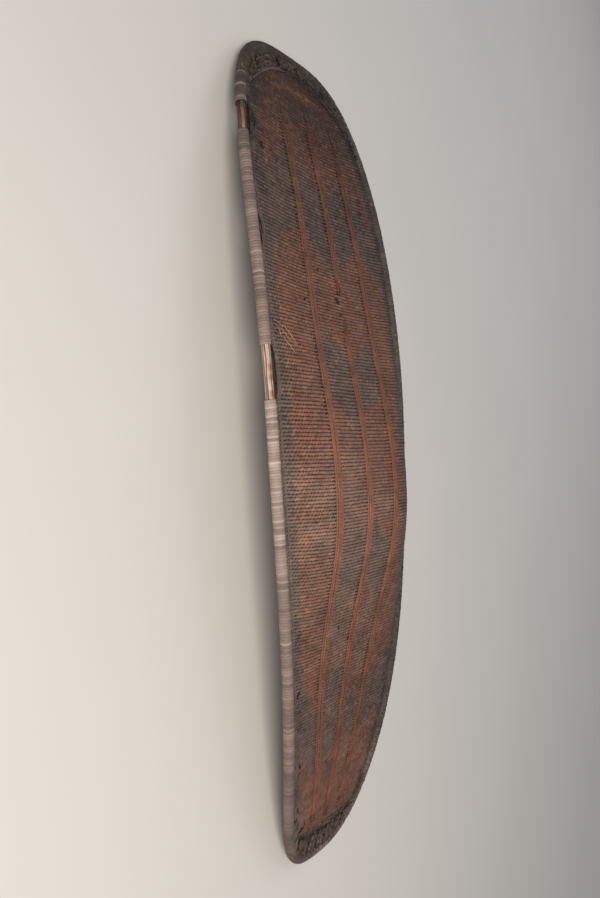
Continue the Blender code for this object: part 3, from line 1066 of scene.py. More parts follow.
@dataclass
class Workshop:
    """What every sub-assembly shares: form, layout, pattern, finishes and recipes."""

    form: ShieldForm
    layout: Layout
    pattern: StainPattern
    finishes: Finishes
    units: dict[UnitShape, StitchRecipe]
    strands: StrandRecipe

    def lay(self, name: str, stitches: Stitches, finish: Material, slot: str,
            *nodes: str, facets: int, wobble: float, spread: float, seed: int,
            slant: float = 0.0, shape: UnitShape = UnitShape.GRAIN) -> None:
        """Make and place a piece with one unit of cane on every stitch.

        Args:
            name: Name of the piece.
            stitches: Where the units lie.
            finish: Material of the piece.
            slot: Material slot of the piece; not used.
            *nodes: Solids that it stands for.
            facets: Number of sides of a unit.
            wobble: Greatest turn of a unit to either side, in degrees.
            spread: Greatest change of a unit's size, as a share of it.
            seed: Seed of both.
            slant: Turn of all units, in degrees.
            shape: Unit that is repeated.
        """
        piece = self.units[shape].bake(name, stitches.mesh(name), {
            "Facets": facets, "Slant": math.radians(slant), "Wobble": math.radians(wobble),
            "Spread": spread, "Seed": seed, "Finish": finish})
        place_piece(piece, slot, *nodes)


# Sub-assemblies


@dataclass
class Assembly:
    """Base of every sub-assembly: the workshop, and what it shares at hand."""

    shop: Workshop

    def __post_init__(self) -> None:
        """Take what is shared from the workshop."""
        self.form, self.layout = self.shop.form, self.shop.layout
        self.pattern, self.finishes = self.shop.pattern, self.shop.finishes
        self.lay, self.sweep = self.shop.lay, self.shop.strands.sweep

    def strand(self, x: Array, y: Array, lift: Values, *look: Values) -> Strand:
        """A strand over places on the face, at a lift, with its girth, stain and tone."""
        return Strand(self.form.surface(x, y, lift), self.form.normal(x, y), *look)


# Woven panel


@dataclass
class WovenPanel(Assembly):
    """The woven sheet: rows of stitches on both sides of a thin ground."""

    row_pitches: Table = (
        (-0.64, 4.8 * MM), (-0.30, 4.65 * MM), (-0.16, 4.7 * MM), (-0.05, 5.05 * MM),
        (0.05, 5.6 * MM), (0.15, 5.15 * MM), (0.25, 4.95 * MM), (0.38, 5.6 * MM),
        (0.47, 5.8 * MM), (0.64, 5.6 * MM))
    face_stitch: float = 5.2 * MM
    back_stitch: float = 8.4 * MM
    grain_lift: float = 1.5 * MM
    grain_height: float = 2.9 * MM
    overlaps: Table = (
        (-0.52, 1.40), (-0.38, 1.28), (-0.22, 1.15), (-0.10, 1.12), (0.25, 1.14), (0.42, 1.24),
        (0.56, 1.28))
    grain_reach: float = 1.75
    under_rib: float = 4.4 * MM
    edge_margin: float = 3.0 * MM
    ground_half: float = 1.4 * MM
    rim_touch: float = 0.9 * MM
    # Degrees by which every stitch leans out of its row
    slant: float = 15.0

    def rows(self) -> tuple[Array, Array]:
        """Base of every row along the middle line, and the pitch of the rows there."""
        y = np.linspace(-0.665, 0.665, 4001)
        pitch = look_up(self.row_pitches, y)
        count = np.concatenate([[0], np.cumsum(np.diff(y) / pitch[1:])])
        bases = np.interp(np.arange(int(count[-1])), count, y)
        return bases, np.interp(bases, y, pitch)

    def spots(self, stitch: float, rng: Random) -> tuple[Array, ...]:
        """Places of the stitches, evenly spaced along each row over the curved surface.

        Args:
            stitch: Distance between stitches along a row.
            rng: Source of the small differences between stitches.

        Returns:
            Arrays with the place across, the row's base and the row's pitch of each stitch.
        """
        form, layout = self.form, self.layout
        line = np.arange(0.0, form.half + 2 * MM, 1 * MM)
        spots = []
        for number, (base, pitch) in enumerate(zip(*self.rows())):
            run = form.surface(line, layout.row_y(line, base))
            lengths = np.linalg.norm(np.diff(run, axis=0), axis=1)
            length = np.concatenate([[0], np.cumsum(np.minimum(lengths, 2 * MM))])
            count = int(length[-1] / stitch)
            marks = (np.arange(-count, count + 1) + 0.5 * (number % 2)) * stitch
            marks = marks + rng.normal(0, 0.3 * MM, marks.size)
            x = np.sign(marks) * np.interp(np.abs(marks), length, line)
            spots.append(vectors(x, base, pitch))
        return tuple(np.concatenate(spots).T)

    def field(self, front: bool) -> Stitches:
        """Every stitch of one side.

        Args:
            front: Whether the side is the face or the back.

        Returns:
            The stitches, with those under the end bands or lost left out.
        """
        form, layout = self.form, self.layout
        rng = seeded(11 if front else 12)
        stitch = self.face_stitch if front else self.back_stitch
        x, base, pitch = self.spots(stitch, rng)
        # Rows wander a little, and no stitch is pulled quite as tight as the next
        y = layout.row_y(x, base) + rng.normal(0, 0.19 * MM, x.size)
        y += 0.7 * MM * patchiness(x, base, 0.040, 6.1)
        limit = form.panel_half_width(y) - self.edge_margin * (1.0 if front else 1.4)
        # The last stitch of a row is drawn in to the selvedge
        keep = (x < limit + stitch / 2) & (x > self.notch(y) - limit - stitch / 2)
        x = np.clip(x, np.minimum(self.notch(y) - limit, 0), limit)
        if front:
            hidden = (layout.beside_rib(x, y) < self.under_rib) & (np.abs(y) < 0.48) & (
                (y < 0.20) | (y > 0.25))
            for top, sign in ((True, 1), (False, -1)):
                hidden |= ((sign * (y - layout.band_edge(x, top)) > 5 * MM)
                           & (np.abs(x) < layout.band_reach(top) - 2 * MM))
            keep &= ~hidden & ~self.pattern.lost(x, y)
        x, y, base, pitch = x[keep], y[keep], base[keep], pitch[keep]
        side = 1.0 if front else -1.0
        normal = form.normal(x, y)
        span = layout.row_span(x, base)
        stretch = np.clip(np.linalg.norm(span, axis=1) / MM, 1.0, 1.6)
        rise = np.clip(1 / np.abs(normal[:, 2]) / stretch, 1.0, 1.4)
        # Rows are beaten closer towards both ends, so their grooves close up
        size = vectors(
            stitch * self.grain_reach, pitch * look_up(self.overlaps, y) * rise, self.grain_height)
        lift = self.grain_lift + rng.normal(0, 0.08 * MM, x.size)
        place = form.surface(x, y, side * lift)
        dye = self.pattern.dye(x, y, rng)
        tone = self.pattern.tone(x, y, rng)
        if front:
            dye, tone, size = self.ladders(x, y, dye, tone, size)
        else:
            dye = 0.22 + 0.10 * rng.random(x.size) + 0.12 * patchiness(x, y, 0.09, 5.5)
        return Stitches(place, unit(span), normal * side, size, dye, tone)

    def ladders(
        self, x: Array, y: Array, dye: Array, tone: Array, size: Array
    ) -> tuple[Array, Array, Array]:
        """Turn the column of stitches beside each rib into thin pale rungs."""
        layout = self.layout
        open_spans = (
            ((0.06, 0.175), (0.34, 0.52)), ((0.33, 0.51), (-0.24, -0.19)),
            ((0.34, 0.47), (-0.36, -0.30), (0.19, 0.29)))
        for spans, place in zip(open_spans, layout.rib_places):
            offset = x - layout.rib_x(place, y)
            beside = (offset > -12.2 * MM) & (offset < -6.8 * MM)
            wide_open = np.zeros(x.size, dtype=bool)
            for low, high in spans:
                wide_open |= (y > low) & (y < high)
            dye = np.where(beside, dye * 0.8 + 0.05, dye)
            tone = np.where(beside, np.clip(tone + 0.09, 0, 1), tone)
            size[beside & ~wide_open, 1] *= 0.72
            size[beside & wide_open, 1] *= 0.42
        return dye, tone, size

    def ground(self) -> Object:
        """The sheet of ground weave between the two sides of stitches."""
        form = self.form
        rows = form.end_y * np.sin(np.linspace(-math.pi / 2, math.pi / 2, 330))
        rows = rows[form.panel_half_width(rows) > 4 * MM]
        shares = np.sin(np.linspace(-math.pi / 2, math.pi / 2, 61))
        edge = form.panel_half_width(rows)
        reach = np.where(
            shares[None, :] < 0, (edge - self.notch(rows))[:, None],
            edge[:, None]) + self.rim_touch
        x = reach * shares
        y = np.broadcast_to(rows[:, None], x.shape)
        sheets = [form.surface(x, y, side * self.ground_half).reshape(-1, 3) for side in (1, -1)]
        rng = seeded(10)
        pattern = self.pattern
        flat_x, flat_y = x.ravel(), y.ravel()
        plain = np.full(x.size, 0.25)
        # Where stitches are lost, the sheet gets the crown mark of a deep hollow and is painted
        # near its darkest, as painted shade in the hole
        lost = pattern.lost(flat_x, flat_y)
        marks = {
            "dye": np.concatenate([pattern.dye(flat_x, flat_y, rng), plain]),
            "tone": np.concatenate([pattern.tone(flat_x, flat_y, rng), plain + 0.25]),
            "crown": np.concatenate([np.where(lost, 0.05, 0.55), plain])}
        return solid_object(
            "weave_ground", np.concatenate(sheets), slab_faces(*x.shape), self.finishes.ground,
            marks)

    def selvedge(self) -> list[Strand]:
        """Edge strands that close the ends of the rows on both sides."""
        form = self.form
        rng = seeded(14)
        y = (form.end_y - 24 * MM) * np.sin(np.linspace(-1.5, 1.5, 240))
        strands = []
        for side in (-1, 1):
            gap = self.notch(y) if side < 0 else 0 * y
            for inset, lift in ((1.3 * MM, 0.9 * MM), (3.4 * MM, 1.9 * MM)):
                x = side * (form.panel_half_width(y) - gap - inset)
                tone = self.pattern.tone(x, y, rng) - 0.10
                girth = 1 + 0.12 * rng.normal(0, 1, y.size)
                strands.append(self.strand(x, y, lift, girth, 0.15, tone))
        return strands

    @staticmethod
    def notch(y: Array) -> Array:
        """How far the left edge of the sheet has drawn away from the rim."""
        gaps = ((0.486, 0.026, 5.5), (0.318, 0.020, 7.0), (0.115, 0.038, 3.6))
        return sum(
            size * MM * np.exp(-((y - middle) / reach) ** 4) for middle, reach, size in gaps)

    def build(self) -> None:
        """Make the ground sheet, its selvedge and the stitches, bay by bay."""
        finish = self.finishes.weave
        place_piece(self.ground(), "weave", "woven_panel")
        self.sweep(
            "weave_selvedge", self.selvedge(), finish, 2.8 * MM, 2.6 * MM, "weave", facets=6)
        for front, label, facets in ((True, "face", 6), (False, "back", 5)):
            stitches = self.field(front)
            bay, _ = self.layout.bays(stitches.place[:, 0], stitches.place[:, 1])
            for number, where in enumerate(("left", "inner_left", "inner_right", "right")):
                self.lay(
                    f"weave_{label}_{where}", stitches.only(bay == number), finish, "weave",
                    facets=facets, slant=self.slant, wobble=6.5, spread=0.09, seed=20 + number)


# Rim


@dataclass
class Rim(Assembly):
    """The rod round the shield and the cane strip wound on it."""

    turn_pitch: float = 4.0 * MM
    strip_width: float = 4.5 * MM
    crown_radius: float = 8.5 * MM
    # Degrees by which the turns lean, as a wound strip does
    tilt: float = 4.3
    upper_bare: Pair = (0.4585, 0.5085)
    lower_bare: Pair = (0.0755, 0.1515)
    pale_turns: Table = ((558, 0.45), (535, 0.70), (511, 0.62), (253, 0.85), (-11, 1.0))
    under_radius: float = 7.9 * MM
    left_paleness: Table = (
        (-640, 0.30), (-560, 0.48), (-450, 0.57), (-300, 0.70), (-160, 0.80), (-60, 0.92),
        (70, 0.92), (200, 0.72), (420, 0.58), (500, 0.40), (530, 0.10), (640, 0.03))
    right_paleness: Table = ((-640, 0.45), (-560, 0.36), (-450, 0.12), (0, 0.10), (640, 0.06))
    # Tone shifts along the left side and along the right side; the dark top end of the left side
    # is partly painted shade
    tone_shift: tuple[Table, ...] = (
        ((-640, -0.06), (-480, -0.08), (-200, -0.02), (-120, -0.05), (0, 0.12), (200, -0.03),
         (500, 0.0), (530, -0.24), (590, -0.44), (640, -0.50)),
        ((-640, 0.22), (-560, 0.08), (-480, -0.10), (-300, -0.14), (-220, 0.0),
         (-150, -0.14), (-60, -0.12), (0, -0.02), (90, 0.06), (180, 0.10), (240, 0.20),
         (300, 0.0), (380, 0.0), (425, -0.20), (485, -0.24), (510, 0.05), (540, 0.38),
         (575, -0.04), (640, -0.28)))
    lump_pitch: float = 1.0 * MM
    facets: int = 14
    # Angle round the rod, depth in millimetres and noise seed of each crack
    cracks: tuple[Triple, ...] = (
        (0.25, 1.8, 1.0), (1.55, 0.6, 4.0), (2.7, 1.5, 7.0), (3.7, 1.0, 9.0), (-0.35, 1.1, 12.0))
    # How far the upper bare place is orange, along the shield
    orange_share: Table = ((0.459, 0.30), (0.463, 0.70), (0.468, 1.0), (0.488, 1.0), (0.497, 0.20))

    def bare(self, place: Array, margin: float = 0.0) -> Array:
        """Whether a place on the rim has lost its binding."""
        left = place[:, 0] < 0
        lost = np.zeros(len(place), dtype=bool)
        for low, high in (self.upper_bare, self.lower_bare):
            lost |= left & (place[:, 1] > low - margin) & (place[:, 1] < high + margin)
        return lost

    @staticmethod
    def blocks(run: Array, rng: Random) -> Array:
        """A value from -1 to 1 that stays the same over a few turns, then jumps."""
        marks = np.cumsum(rng.uniform(4 * MM, 16 * MM, 600))
        return rng.uniform(-1, 1, 601)[np.searchsorted(marks, run)]

    def turns(self) -> Stitches:
        """Every turn of strip, with its directions, size and colour."""
        rim = self.form.rim_stations(self.turn_pitch)
        rng = seeded(31)
        left = rim.place[:, 0] < 0
        count, y_mm = rim.run.size, rim.place[:, 1] / MM
        # Turns on the right have slipped and swollen unevenly
        slack = np.where(left, 0.020, 0.050)
        radius = self.crown_radius * (1 - slack * rng.random(count))
        width = self.strip_width * (1 + np.where(left, 0.04, 0.12) * rng.normal(0, 1, count))
        size = vectors(width, radius / 1.012, radius / 1.012)
        # Paler down the left side, partly as painted light on the side the light falls on; greyer
        # round the top and on the right, partly as painted shade
        dye = np.where(left, look_up(self.left_paleness, y_mm), look_up(self.right_paleness, y_mm))
        dye = dye + 0.05 * self.blocks(rim.run, rng) + 0.06 * rng.normal(0, 1, count)
        tone = 0.5 + 0.075 * rng.normal(0, 1, count) + 0.04 * self.blocks(rim.run, rng)
        tone += 0.12 * noise_at(vectors(rim.run / 0.045, 2.0, 0.0))
        tone += np.where(left, *(look_up(shift, y_mm) for shift in self.tone_shift))
        for middle, pale in self.pale_turns:
            near = left & (np.abs(y_mm - middle) < 2.0)
            dye = np.where(near, np.maximum(dye, pale), dye)
            tone = np.where(near, np.maximum(tone, 0.50), tone)
        return Stitches(
            rim.place, rim.along, rim.outward, size, np.clip(dye, 0, 1), np.clip(tone, 0.05, 1))

    def lumps(self) -> Stitches:
        """Short swollen strands over the turns on the right side and round both ends."""
        rng = seeded(33)
        rim = self.form.rim_stations(self.lump_pitch)
        x, y = rim.place[:, 0], rim.place[:, 1]
        share = np.maximum(np.where(x > 0, 0.55, 0.0), ease((np.abs(y) - 0.555) / 0.035))
        rim = rim.only(rng.random(x.size) < share)
        count = rim.run.size
        angle = rng.uniform(-0.6, 2.5, count)[:, None]
        spoke = rim.outward * np.cos(angle) + rim.upward * np.sin(angle)
        around = rim.upward * np.cos(angle) - rim.outward * np.sin(angle)
        pointing = unit(around + rim.along * rng.normal(0, 0.7, count)[:, None])
        size = random_sizes(rng, count, (3.5, 8.0), (1.8, 3.4), (1.6, 2.4))
        place = rim.place + spoke * (self.crown_radius - 0.9 * MM)
        pale = 0.22 * ease((-0.50 - place[:, 1]) / 0.05)
        return Stitches(
            place, pointing, spoke, size, 0.02 + pale + 0.60 * rng.random(count),
            0.06 + pale + 0.66 * rng.random(count))

    def build(self) -> None:
        """Make the two runs of binding, the rod and what lies under the binding."""
        turns = self.turns()
        y = turns.place[:, 1]
        lost = self.bare(turns.place, -1.0 * MM)
        short = ((turns.place[:, 0] < 0) & (y > self.lower_bare[1] - MM)
                 & (y < self.upper_bare[0] + MM))
        for length, keep in (("long", ~short), ("short", short)):
            name = f"rim_binding_{length}"
            self.lay(
                name, turns.only(keep & ~lost), self.finishes.binding, "binding", f"{name}_run",
                facets=self.facets, slant=self.tilt, wobble=1.6, spread=0.008, seed=40,
                shape=UnitShape.RING)
        self.lay(
            "rim_lumps", self.lumps(), self.finishes.band, "binding", facets=6, wobble=6.0,
            spread=0.1, seed=43)
        for length, start, stop in self.wrapped_runs():
            place_piece(self.under_layer(f"rim_under_{length}", start, stop), "binding")
        place_piece(self.rod(), "bare_rod", "rim_hoop")

    def wrapped_runs(self) -> list[tuple[str, float, float]]:
        """Label, start and end of each wrapped run, as distances round the rim."""
        rim = self.form.rim_stations(1 * MM)
        place, run = rim.place, rim.run
        left = place[:, 0] < 0

        def mark(y: float) -> float:
            """Distance round the rim of a place on its left side."""
            return float(run[left][np.argmin(np.abs(place[left, 1] - y))])

        total = float(run[-1]) + 1 * MM
        (low, middle), (high, top) = self.lower_bare, self.upper_bare
        return [("short", mark(high), mark(middle)), ("long", mark(low), total + mark(top))]

    def under_layer(self, name: str, start: float, stop: float, sides: int = 12) -> Object:
        """A closed sleeve under the turns, from one bare place to the next; its dark colour is
        painted shade in the gaps between turns.
        """
        step = 6 * MM
        rim = self.form.rim_stations(step)
        marks = np.linspace(start + MM, stop - MM, round((stop - start) / step))
        twice = np.concatenate([rim.run, rim.run + float(rim.run[-1]) + step])
        place, outward, upward = (
            between(marks, twice, np.concatenate([rows, rows]))
            for rows in (rim.place, rim.outward, rim.upward))
        sleeve = RimLine(place, np.cross(upward, outward), outward, upward, marks)
        verts = sleeve.tube(np.arange(sides) * 2 * math.pi / sides, self.under_radius)
        return solid_object(
            name, verts.reshape(-1, 3), tube_faces(marks.size, sides), self.finishes.binding,
            {"dye": 0.3, "tone": 0.5, "crown": 0.45})

    def rod(self, sides: int = 30) -> Object:
        """The rod itself, cracked lengthwise where it is bare."""
        coarse, fine = (self.form.rim_stations(step * MM) for step in (9.0, 1.5))
        coarse = coarse.only(~self.bare(coarse.place, 6 * MM))
        fine = fine.only(self.bare(fine.place, 6 * MM))
        rim = RimLine.join(coarse, fine)
        rim = rim.only(np.argsort(rim.run))
        angle = np.arange(sides) * 2 * math.pi / sides
        bare = self.bare(rim.place, 2 * MM).astype(float)[:, None]
        radius = np.full((rim.run.size, sides), self.form.rod_radius)
        crown = np.ones(radius.shape)
        # Each crack is cut into the rod and also painted dark through the crown mark, as painted
        # shade inside the crack
        for crack, depth, seed in self.cracks:
            centre = crack + 0.25 * noise_at(vectors(rim.run / 0.03, seed, 0.5))
            gap = np.abs((angle - centre[:, None] + math.pi) % (2 * math.pi) - math.pi)
            cut = np.clip(1.3 - gap / 0.20, 0, 1) * bare
            radius -= depth * MM * cut
            crown -= 0.9 * cut
        y = rim.place[:, 1:2]
        spots = vectors(rim.run[:, None] / 0.014, 1.6 * np.cos(angle), 1.6 * np.sin(angle))
        mixed = noise_at(spots.reshape(-1, 3)).reshape(radius.shape)
        blots = ease(0.45 + 2.2 * noise_at(vectors(rim.run / 0.012, 8.0, 0.0)))[:, None]
        # The upper bare place is orange on its middle and grown grey above and at its sides;
        # the lower one is pale on the outside, partly as a painted highlight, and orange towards
        # the panel
        upper = y > 0.3
        inner = ease((angle - 0.40) / 0.6) * (angle < 4.0)
        middle = np.exp(-((angle - 0.85) / 0.80) ** 2)
        high = look_up(self.orange_share, y + 0.006 * mixed)
        core = ease((middle * high - 0.40) / 0.30)
        foot = ease((0.467 - y) / 0.006) * middle
        fresh = 0.40 * ease((0.482 - y) / 0.014)
        dye = np.where(
            upper, 0.36 + 0.60 * core + 0.30 * foot * (1 - core),
            0.74 + 0.24 * inner * blots + 0.10 * mixed)
        tone = np.where(
            upper, 0.10 - 0.20 * core + (fresh + 0.20 * foot) * middle,
            0.74 - 0.16 * blots * inner) + 0.3 * mixed
        marks = {"dye": np.clip(dye, 0, 1), "tone": tone, "crown": np.clip(crown, 0, 1)}
        return solid_object(
            "rim_rod", rim.tube(angle, radius).reshape(-1, 3),
            grid_faces(*radius.shape, True, True), self.finishes.rod,
            {mark: values.ravel() for mark, values in marks.items()})


# Ribs


@dataclass
class Ribs(Assembly):
    """Three raised ribs: long strands laid side by side and tied down at every row."""

    panel: WovenPanel
    strand_offsets: tuple[float, ...] = (-5.9 * MM, -2.2 * MM, 2.2 * MM, 5.9 * MM)
    strand_width: float = 3.6 * MM
    strand_height: float = 3.2 * MM
    strand_lift: float = 3.7 * MM
    edge_drop: float = 1.2 * MM
    tie_offsets: tuple[float, ...] = (-4.1 * MM, 0.0, 4.1 * MM)
    tie_lift: float = 4.5 * MM
    tie_length: float = 5.0 * MM
    tie_height: float = 2.1 * MM
    top_gap: float = 0.040
    bottom_gap: float = 0.010
    break_in_middle: Pair = (0.208, 0.247)
    shades: Triple = (0.06, 0.0, -0.05)
    fade: float = 0.070
    top_taper: float = 0.080
    foot_taper: float = 0.045

    def end(self, place: float, top: bool) -> float:
        """Place along the shield where a rib stops."""
        sign, gap = (1, self.top_gap) if top else (-1, self.bottom_gap)
        y = sign * self.form.end_y
        for _ in range(8):
            x = float(self.layout.rib_x(place, y))
            half = self.layout.rib_width / 2
            edges = [abs(float(self.layout.band_edge(s, top))) for s in (x - half, x + half)]
            y = sign * (min(edges) - gap)
        return y

    def shade(self, number: int, y: Array, high: float) -> Array:
        """How much darker than the weave a rib is; its top sinks into the dark field."""
        lower = 0.09 * ease((-0.18 - y) / 0.20) * (number == 0)
        foot = 0.20 * ease((-0.50 - y) / 0.06)
        return self.shades[number] + lower + foot - 0.12 * (1 - ease((high - y) / self.fade))

    def strand_paths(self, number: int, broken: bool, rng: Random) -> list[Strand]:
        """Strands of one rib, in one or two lengths each."""
        place = self.layout.rib_places[number]
        low, high = self.end(place, False), self.end(place, True)
        spans = [(low, high)]
        if broken:
            spans = [(low, self.break_in_middle[0]), (self.break_in_middle[1], high)]
        widest = max(self.strand_offsets)
        strands = []
        for offset in self.strand_offsets:
            for start, stop in spans:
                first = start + rng.random() * 6 * MM
                last = stop - rng.random() * 6 * MM
                y = np.linspace(first, last, max(int((last - first) / 0.008), 4))
                drift = 0.35 * MM * np.sin(y / 0.031 + offset * 900)
                run_out = self.top_taper if stop == high else self.foot_taper
                taper = np.clip(
                    np.minimum((y - start) / self.foot_taper, (stop - y) / run_out), 0, 1)
                x = self.layout.rib_x(place, y) + offset * (0.45 + 0.55 * taper) + drift
                sunk = 2.6 * MM if stop == high else 2.0 * MM
                lift = (self.strand_lift - abs(offset) / widest * self.edge_drop
                        - (1 - ease(taper * 1.4)) * sunk)
                tone = self.pattern.tone(x, y, rng) + 0.10 * rng.random()
                strands.append(self.strand(
                    x, y, lift, 0.50 + 0.50 * taper, 0.68 + 0.24 * rng.random(),
                    tone + self.shade(number, y, high)))
        return strands

    def ties(self, number: int, broken: bool, rng: Random) -> Stitches:
        """Cross stitches that carry the rows of the weave over the strands."""
        form, layout = self.form, self.layout
        place = layout.rib_places[number]
        bases, pitches = self.panel.rows()
        rows = layout.row_y(place, bases)
        keep = ((rows > self.end(place, False) + 5 * MM) & (rows < self.end(place, True) - 5 * MM))
        if broken:
            low, high = self.break_in_middle
            keep &= (rows <= low - 3 * MM) | (rows >= high + 3 * MM)
        bases, pitches = bases[keep], pitches[keep]
        offset = np.repeat(self.tie_offsets, bases.size)
        count = len(self.tie_offsets)
        base, pitch = np.tile(bases, count), np.tile(pitches, count)
        closing = np.clip((self.end(place, True) - base) / self.top_taper, 0.25, 1)
        x = layout.rib_x(place, base) + offset * closing + rng.normal(0, 0.15 * MM, base.size)
        y = layout.row_y(x, base)
        drop = np.abs(offset) / max(self.tie_offsets) * self.edge_drop
        lift = self.tie_lift - drop - (1 - ease(closing * 1.4)) * 2.4 * MM
        size = vectors(self.tie_length * (0.5 + 0.5 * closing), pitch * 0.80, self.tie_height)
        dye = 0.52 + 0.36 * rng.random(base.size)
        tone = self.pattern.tone(x, y, rng) + 0.09 + 0.10 * rng.normal(0, 1, base.size)
        tone += self.shade(number, y, self.end(place, True))
        return Stitches(
            form.surface(x, y, lift), unit(layout.row_span(x, base)), form.normal(x, y), size,
            dye, tone)

    def build(self) -> None:
        """Make the strands and the ties of the three ribs."""
        finish = self.finishes.rib
        for number, name in enumerate(("left", "middle", "right")):
            rng = seeded(50 + number)
            broken = name == "middle"
            self.sweep(
                f"rib_{name}_strands", self.strand_paths(number, broken, rng), finish,
                self.strand_width, self.strand_height, "red_cane", f"rib_{name}")
            self.lay(
                f"rib_{name}_ties", self.ties(number, broken, rng), finish, "red_cane", facets=6,
                slant=12.0, wobble=4.0, spread=0.08, seed=60 + number)


# End bands


@dataclass
class EndBands(Assembly):
    """Heavier work at the two ends: a ground pad, strands, fibres and lacing to the rim."""

    top_slits: tuple[float, ...] = (-0.110, -0.047, 0.004, 0.072)
    bottom_slits: tuple[float, ...] = (-0.044, -0.019, 0.004, 0.048)
    slit_width: float = 4.4 * MM
    face_lift: float = 3.0 * MM
    lacing_start: float = 0.520
    lacing_pitch: float = 3.4 * MM
    fibres: int = 2100

    def across(self, x: Array, share: Values, top: bool, margin: float = 0.0) -> Array:
        """Place along the shield at a share of the way from inner edge to outline."""
        inner = self.layout.band_edge(x, top)
        outer = self.form.end_outline(x, top)
        outer = outer - (margin if top else -margin)
        return inner + (outer - inner) * share

    def slits(self, top: bool) -> tuple[float, ...]:
        """Places of the slits of one band."""
        return self.top_slits if top else self.bottom_slits

    def ground(self, top: bool) -> Object:
        """Thin dark pad that the strands lie on."""
        reach = self.layout.band_reach(top) - MM
        x = np.linspace(-reach, reach, 61)[:, None]
        shares = np.linspace(0.04, 0.98, 9)
        y = self.across(x, shares, top, 0.5 * MM)
        x = np.broadcast_to(x, y.shape)
        rise = (1.6 + 2.0 * ease(shares / 0.35)) * MM
        verts = np.concatenate([
            self.form.surface(x, y, lift).reshape(-1, 3)
            for lift in (0.5 * MM, np.broadcast_to(rise, y.shape))])
        level = 0.2 if top else 0.5
        return solid_object(
            f"end_ground_{'top' if top else 'bottom'}", verts, slab_faces(*y.shape),
            self.finishes.ground, {"dye": 0.1, "tone": level, "crown": level})

    def edge_strip(self, top: bool, rng: Random) -> list[Strand]:
        """Two pale strands side by side along the inner edge."""
        reach = self.layout.band_reach(top)
        x = np.linspace(-reach, reach, 70)
        strands = []
        shades = zip((1.6 * MM, 4.9 * MM), (0.34, 0.44) if top else (0.30, 0.20))
        lift = self.face_lift + (1.2 if top else -0.4) * MM
        for offset, dye in shades:
            away = offset + 0.5 * MM * np.sin(x / 0.013 + offset * 700)
            y = self.layout.band_edge(x, top) + (away if top else -away)
            plain = np.interp(x, (-0.060, -0.01), (0, 1)) if top else 0 * x + 0.25
            girth = 0.9 + 0.16 * np.sin(x / 0.0067 + 2) - 0.45 * plain
            spots = 0.16 * patchiness(x, y, 0.006, 3.3)
            tone = 0.32 + 0.1 * rng.random() - 0.36 * plain + spots
            strands.append(self.strand(x, y, lift, girth, dye, tone))
        return strands

    def top_strands(self, rng: Random) -> list[Strand]:
        """Strands that run with the rim, cut into blocks by the slits."""
        reach = self.layout.band_reach(True)
        bounds = [-reach, *self.top_slits, reach]
        strands = []
        for number, (left, right) in enumerate(zip(bounds, bounds[1:])):
            start, stop = left + self.slit_width / 2, right - self.slit_width / 2
            x = np.linspace(start, stop, max(int((stop - start) / 0.004), 4))
            inner, outer = self.across(x, 0.0, True), self.across(x, 1.0, True)
            depth = float(np.abs(outer - inner).max())
            count = max(round((depth - 8 * MM) / (3.9 * MM)), 2)
            for k in range(count):
                share = (7.5 * MM + (depth - 8 * MM) * (k + 0.5) / count) / depth
                wave = 0.8 * MM * np.sin(x / 0.011 + 5 * rng.random())
                y = np.clip(self.across(x, share, True) + wave, inner, outer)
                bold = number == 1 and k % 3 == 1
                lift = self.face_lift + (1.9 if bold else 1.2 + 0.8 * rng.random()) * MM
                girth = (1.0 if bold else 0.75 + 0.35 * rng.random()) * (
                    1 + 0.16 * np.sin(x / 0.005 + 6 * rng.random()))
                girth[[0, -1]] *= 0.55
                strands.append(self.strand(
                    x, y, lift - 0.8 * MM * (girth < 0.6), girth,
                    0.66 if bold else 0.60 * rng.random(), 0.50 if bold else 0.28 * rng.random()))
        return strands

    def bottom_strands(self, rng: Random) -> list[Strand]:
        """Strands wrapped over the end, leaning with the slits."""
        limit = self.layout.band_reach(False)
        reach = limit - 4 * MM
        strands = []
        for start in np.arange(-reach, reach, 3.1 * MM):
            start += 0.4 * MM * rng.normal()
            if min(abs(start - s) for s in self.bottom_slits) < self.slit_width * 0.62:
                continue
            share = np.linspace(0.24 + 0.08 * rng.random(), 0.99, 9)
            lean = 0.006 + 0.012 * (start + reach) / (2 * reach)
            wave = 0.5 * MM * np.sin(share * 14 + 6 * rng.random())
            x = np.clip(start + lean * (share - 0.5) + wave, -limit, limit)
            y = self.across(x, share, False)
            swell = np.sin(math.pi * np.linspace(0.08, 0.92, 9))
            lift = self.face_lift + (0.5 + 1.5 * swell + 0.5 * rng.random()) * MM
            girth = (0.75 + 0.3 * rng.random()) * (0.8 + 0.2 * swell)
            strands.append(self.strand(
                x, y, lift, girth, 0.05 + 0.80 * rng.random(), 0.10 + 0.85 * rng.random()))
        return strands

    def lacing(self, top: bool, rng: Random) -> Stitches:
        """Overcast stitches that lash the band's outer edge to the rim."""
        rim = self.form.rim_stations(self.lacing_pitch)
        sign = 1 if top else -1
        rim = rim.only(sign * rim.place[:, 1] > self.lacing_start + 0.03 * (not top))
        count = rim.run.size
        spot = rim.place - rim.outward * (7.4 + 1.4 * rng.random(count))[:, None] * MM
        spot += rim.upward * (5.9 + 0.7 * rng.random(count))[:, None] * MM
        size = vectors(12.5 + 4.0 * rng.random(count), 4.4 + 1.2 * rng.random(count), 4.4) * MM
        dye = (0.02 if top else 0.20) + 0.60 * rng.random(count)
        tone = (0.02 if top else 0.15) + 0.60 * rng.random(count)
        tone += 0.25 * (rim.place[:, 0] > 0) * np.exp(-((rim.place[:, 1] - 0.54) / 0.03) ** 2)
        return Stitches(
            spot, unit(rim.outward + 0.35 * rim.along), unit(rim.upward + 0.10 * rim.outward),
            size, dye, tone)

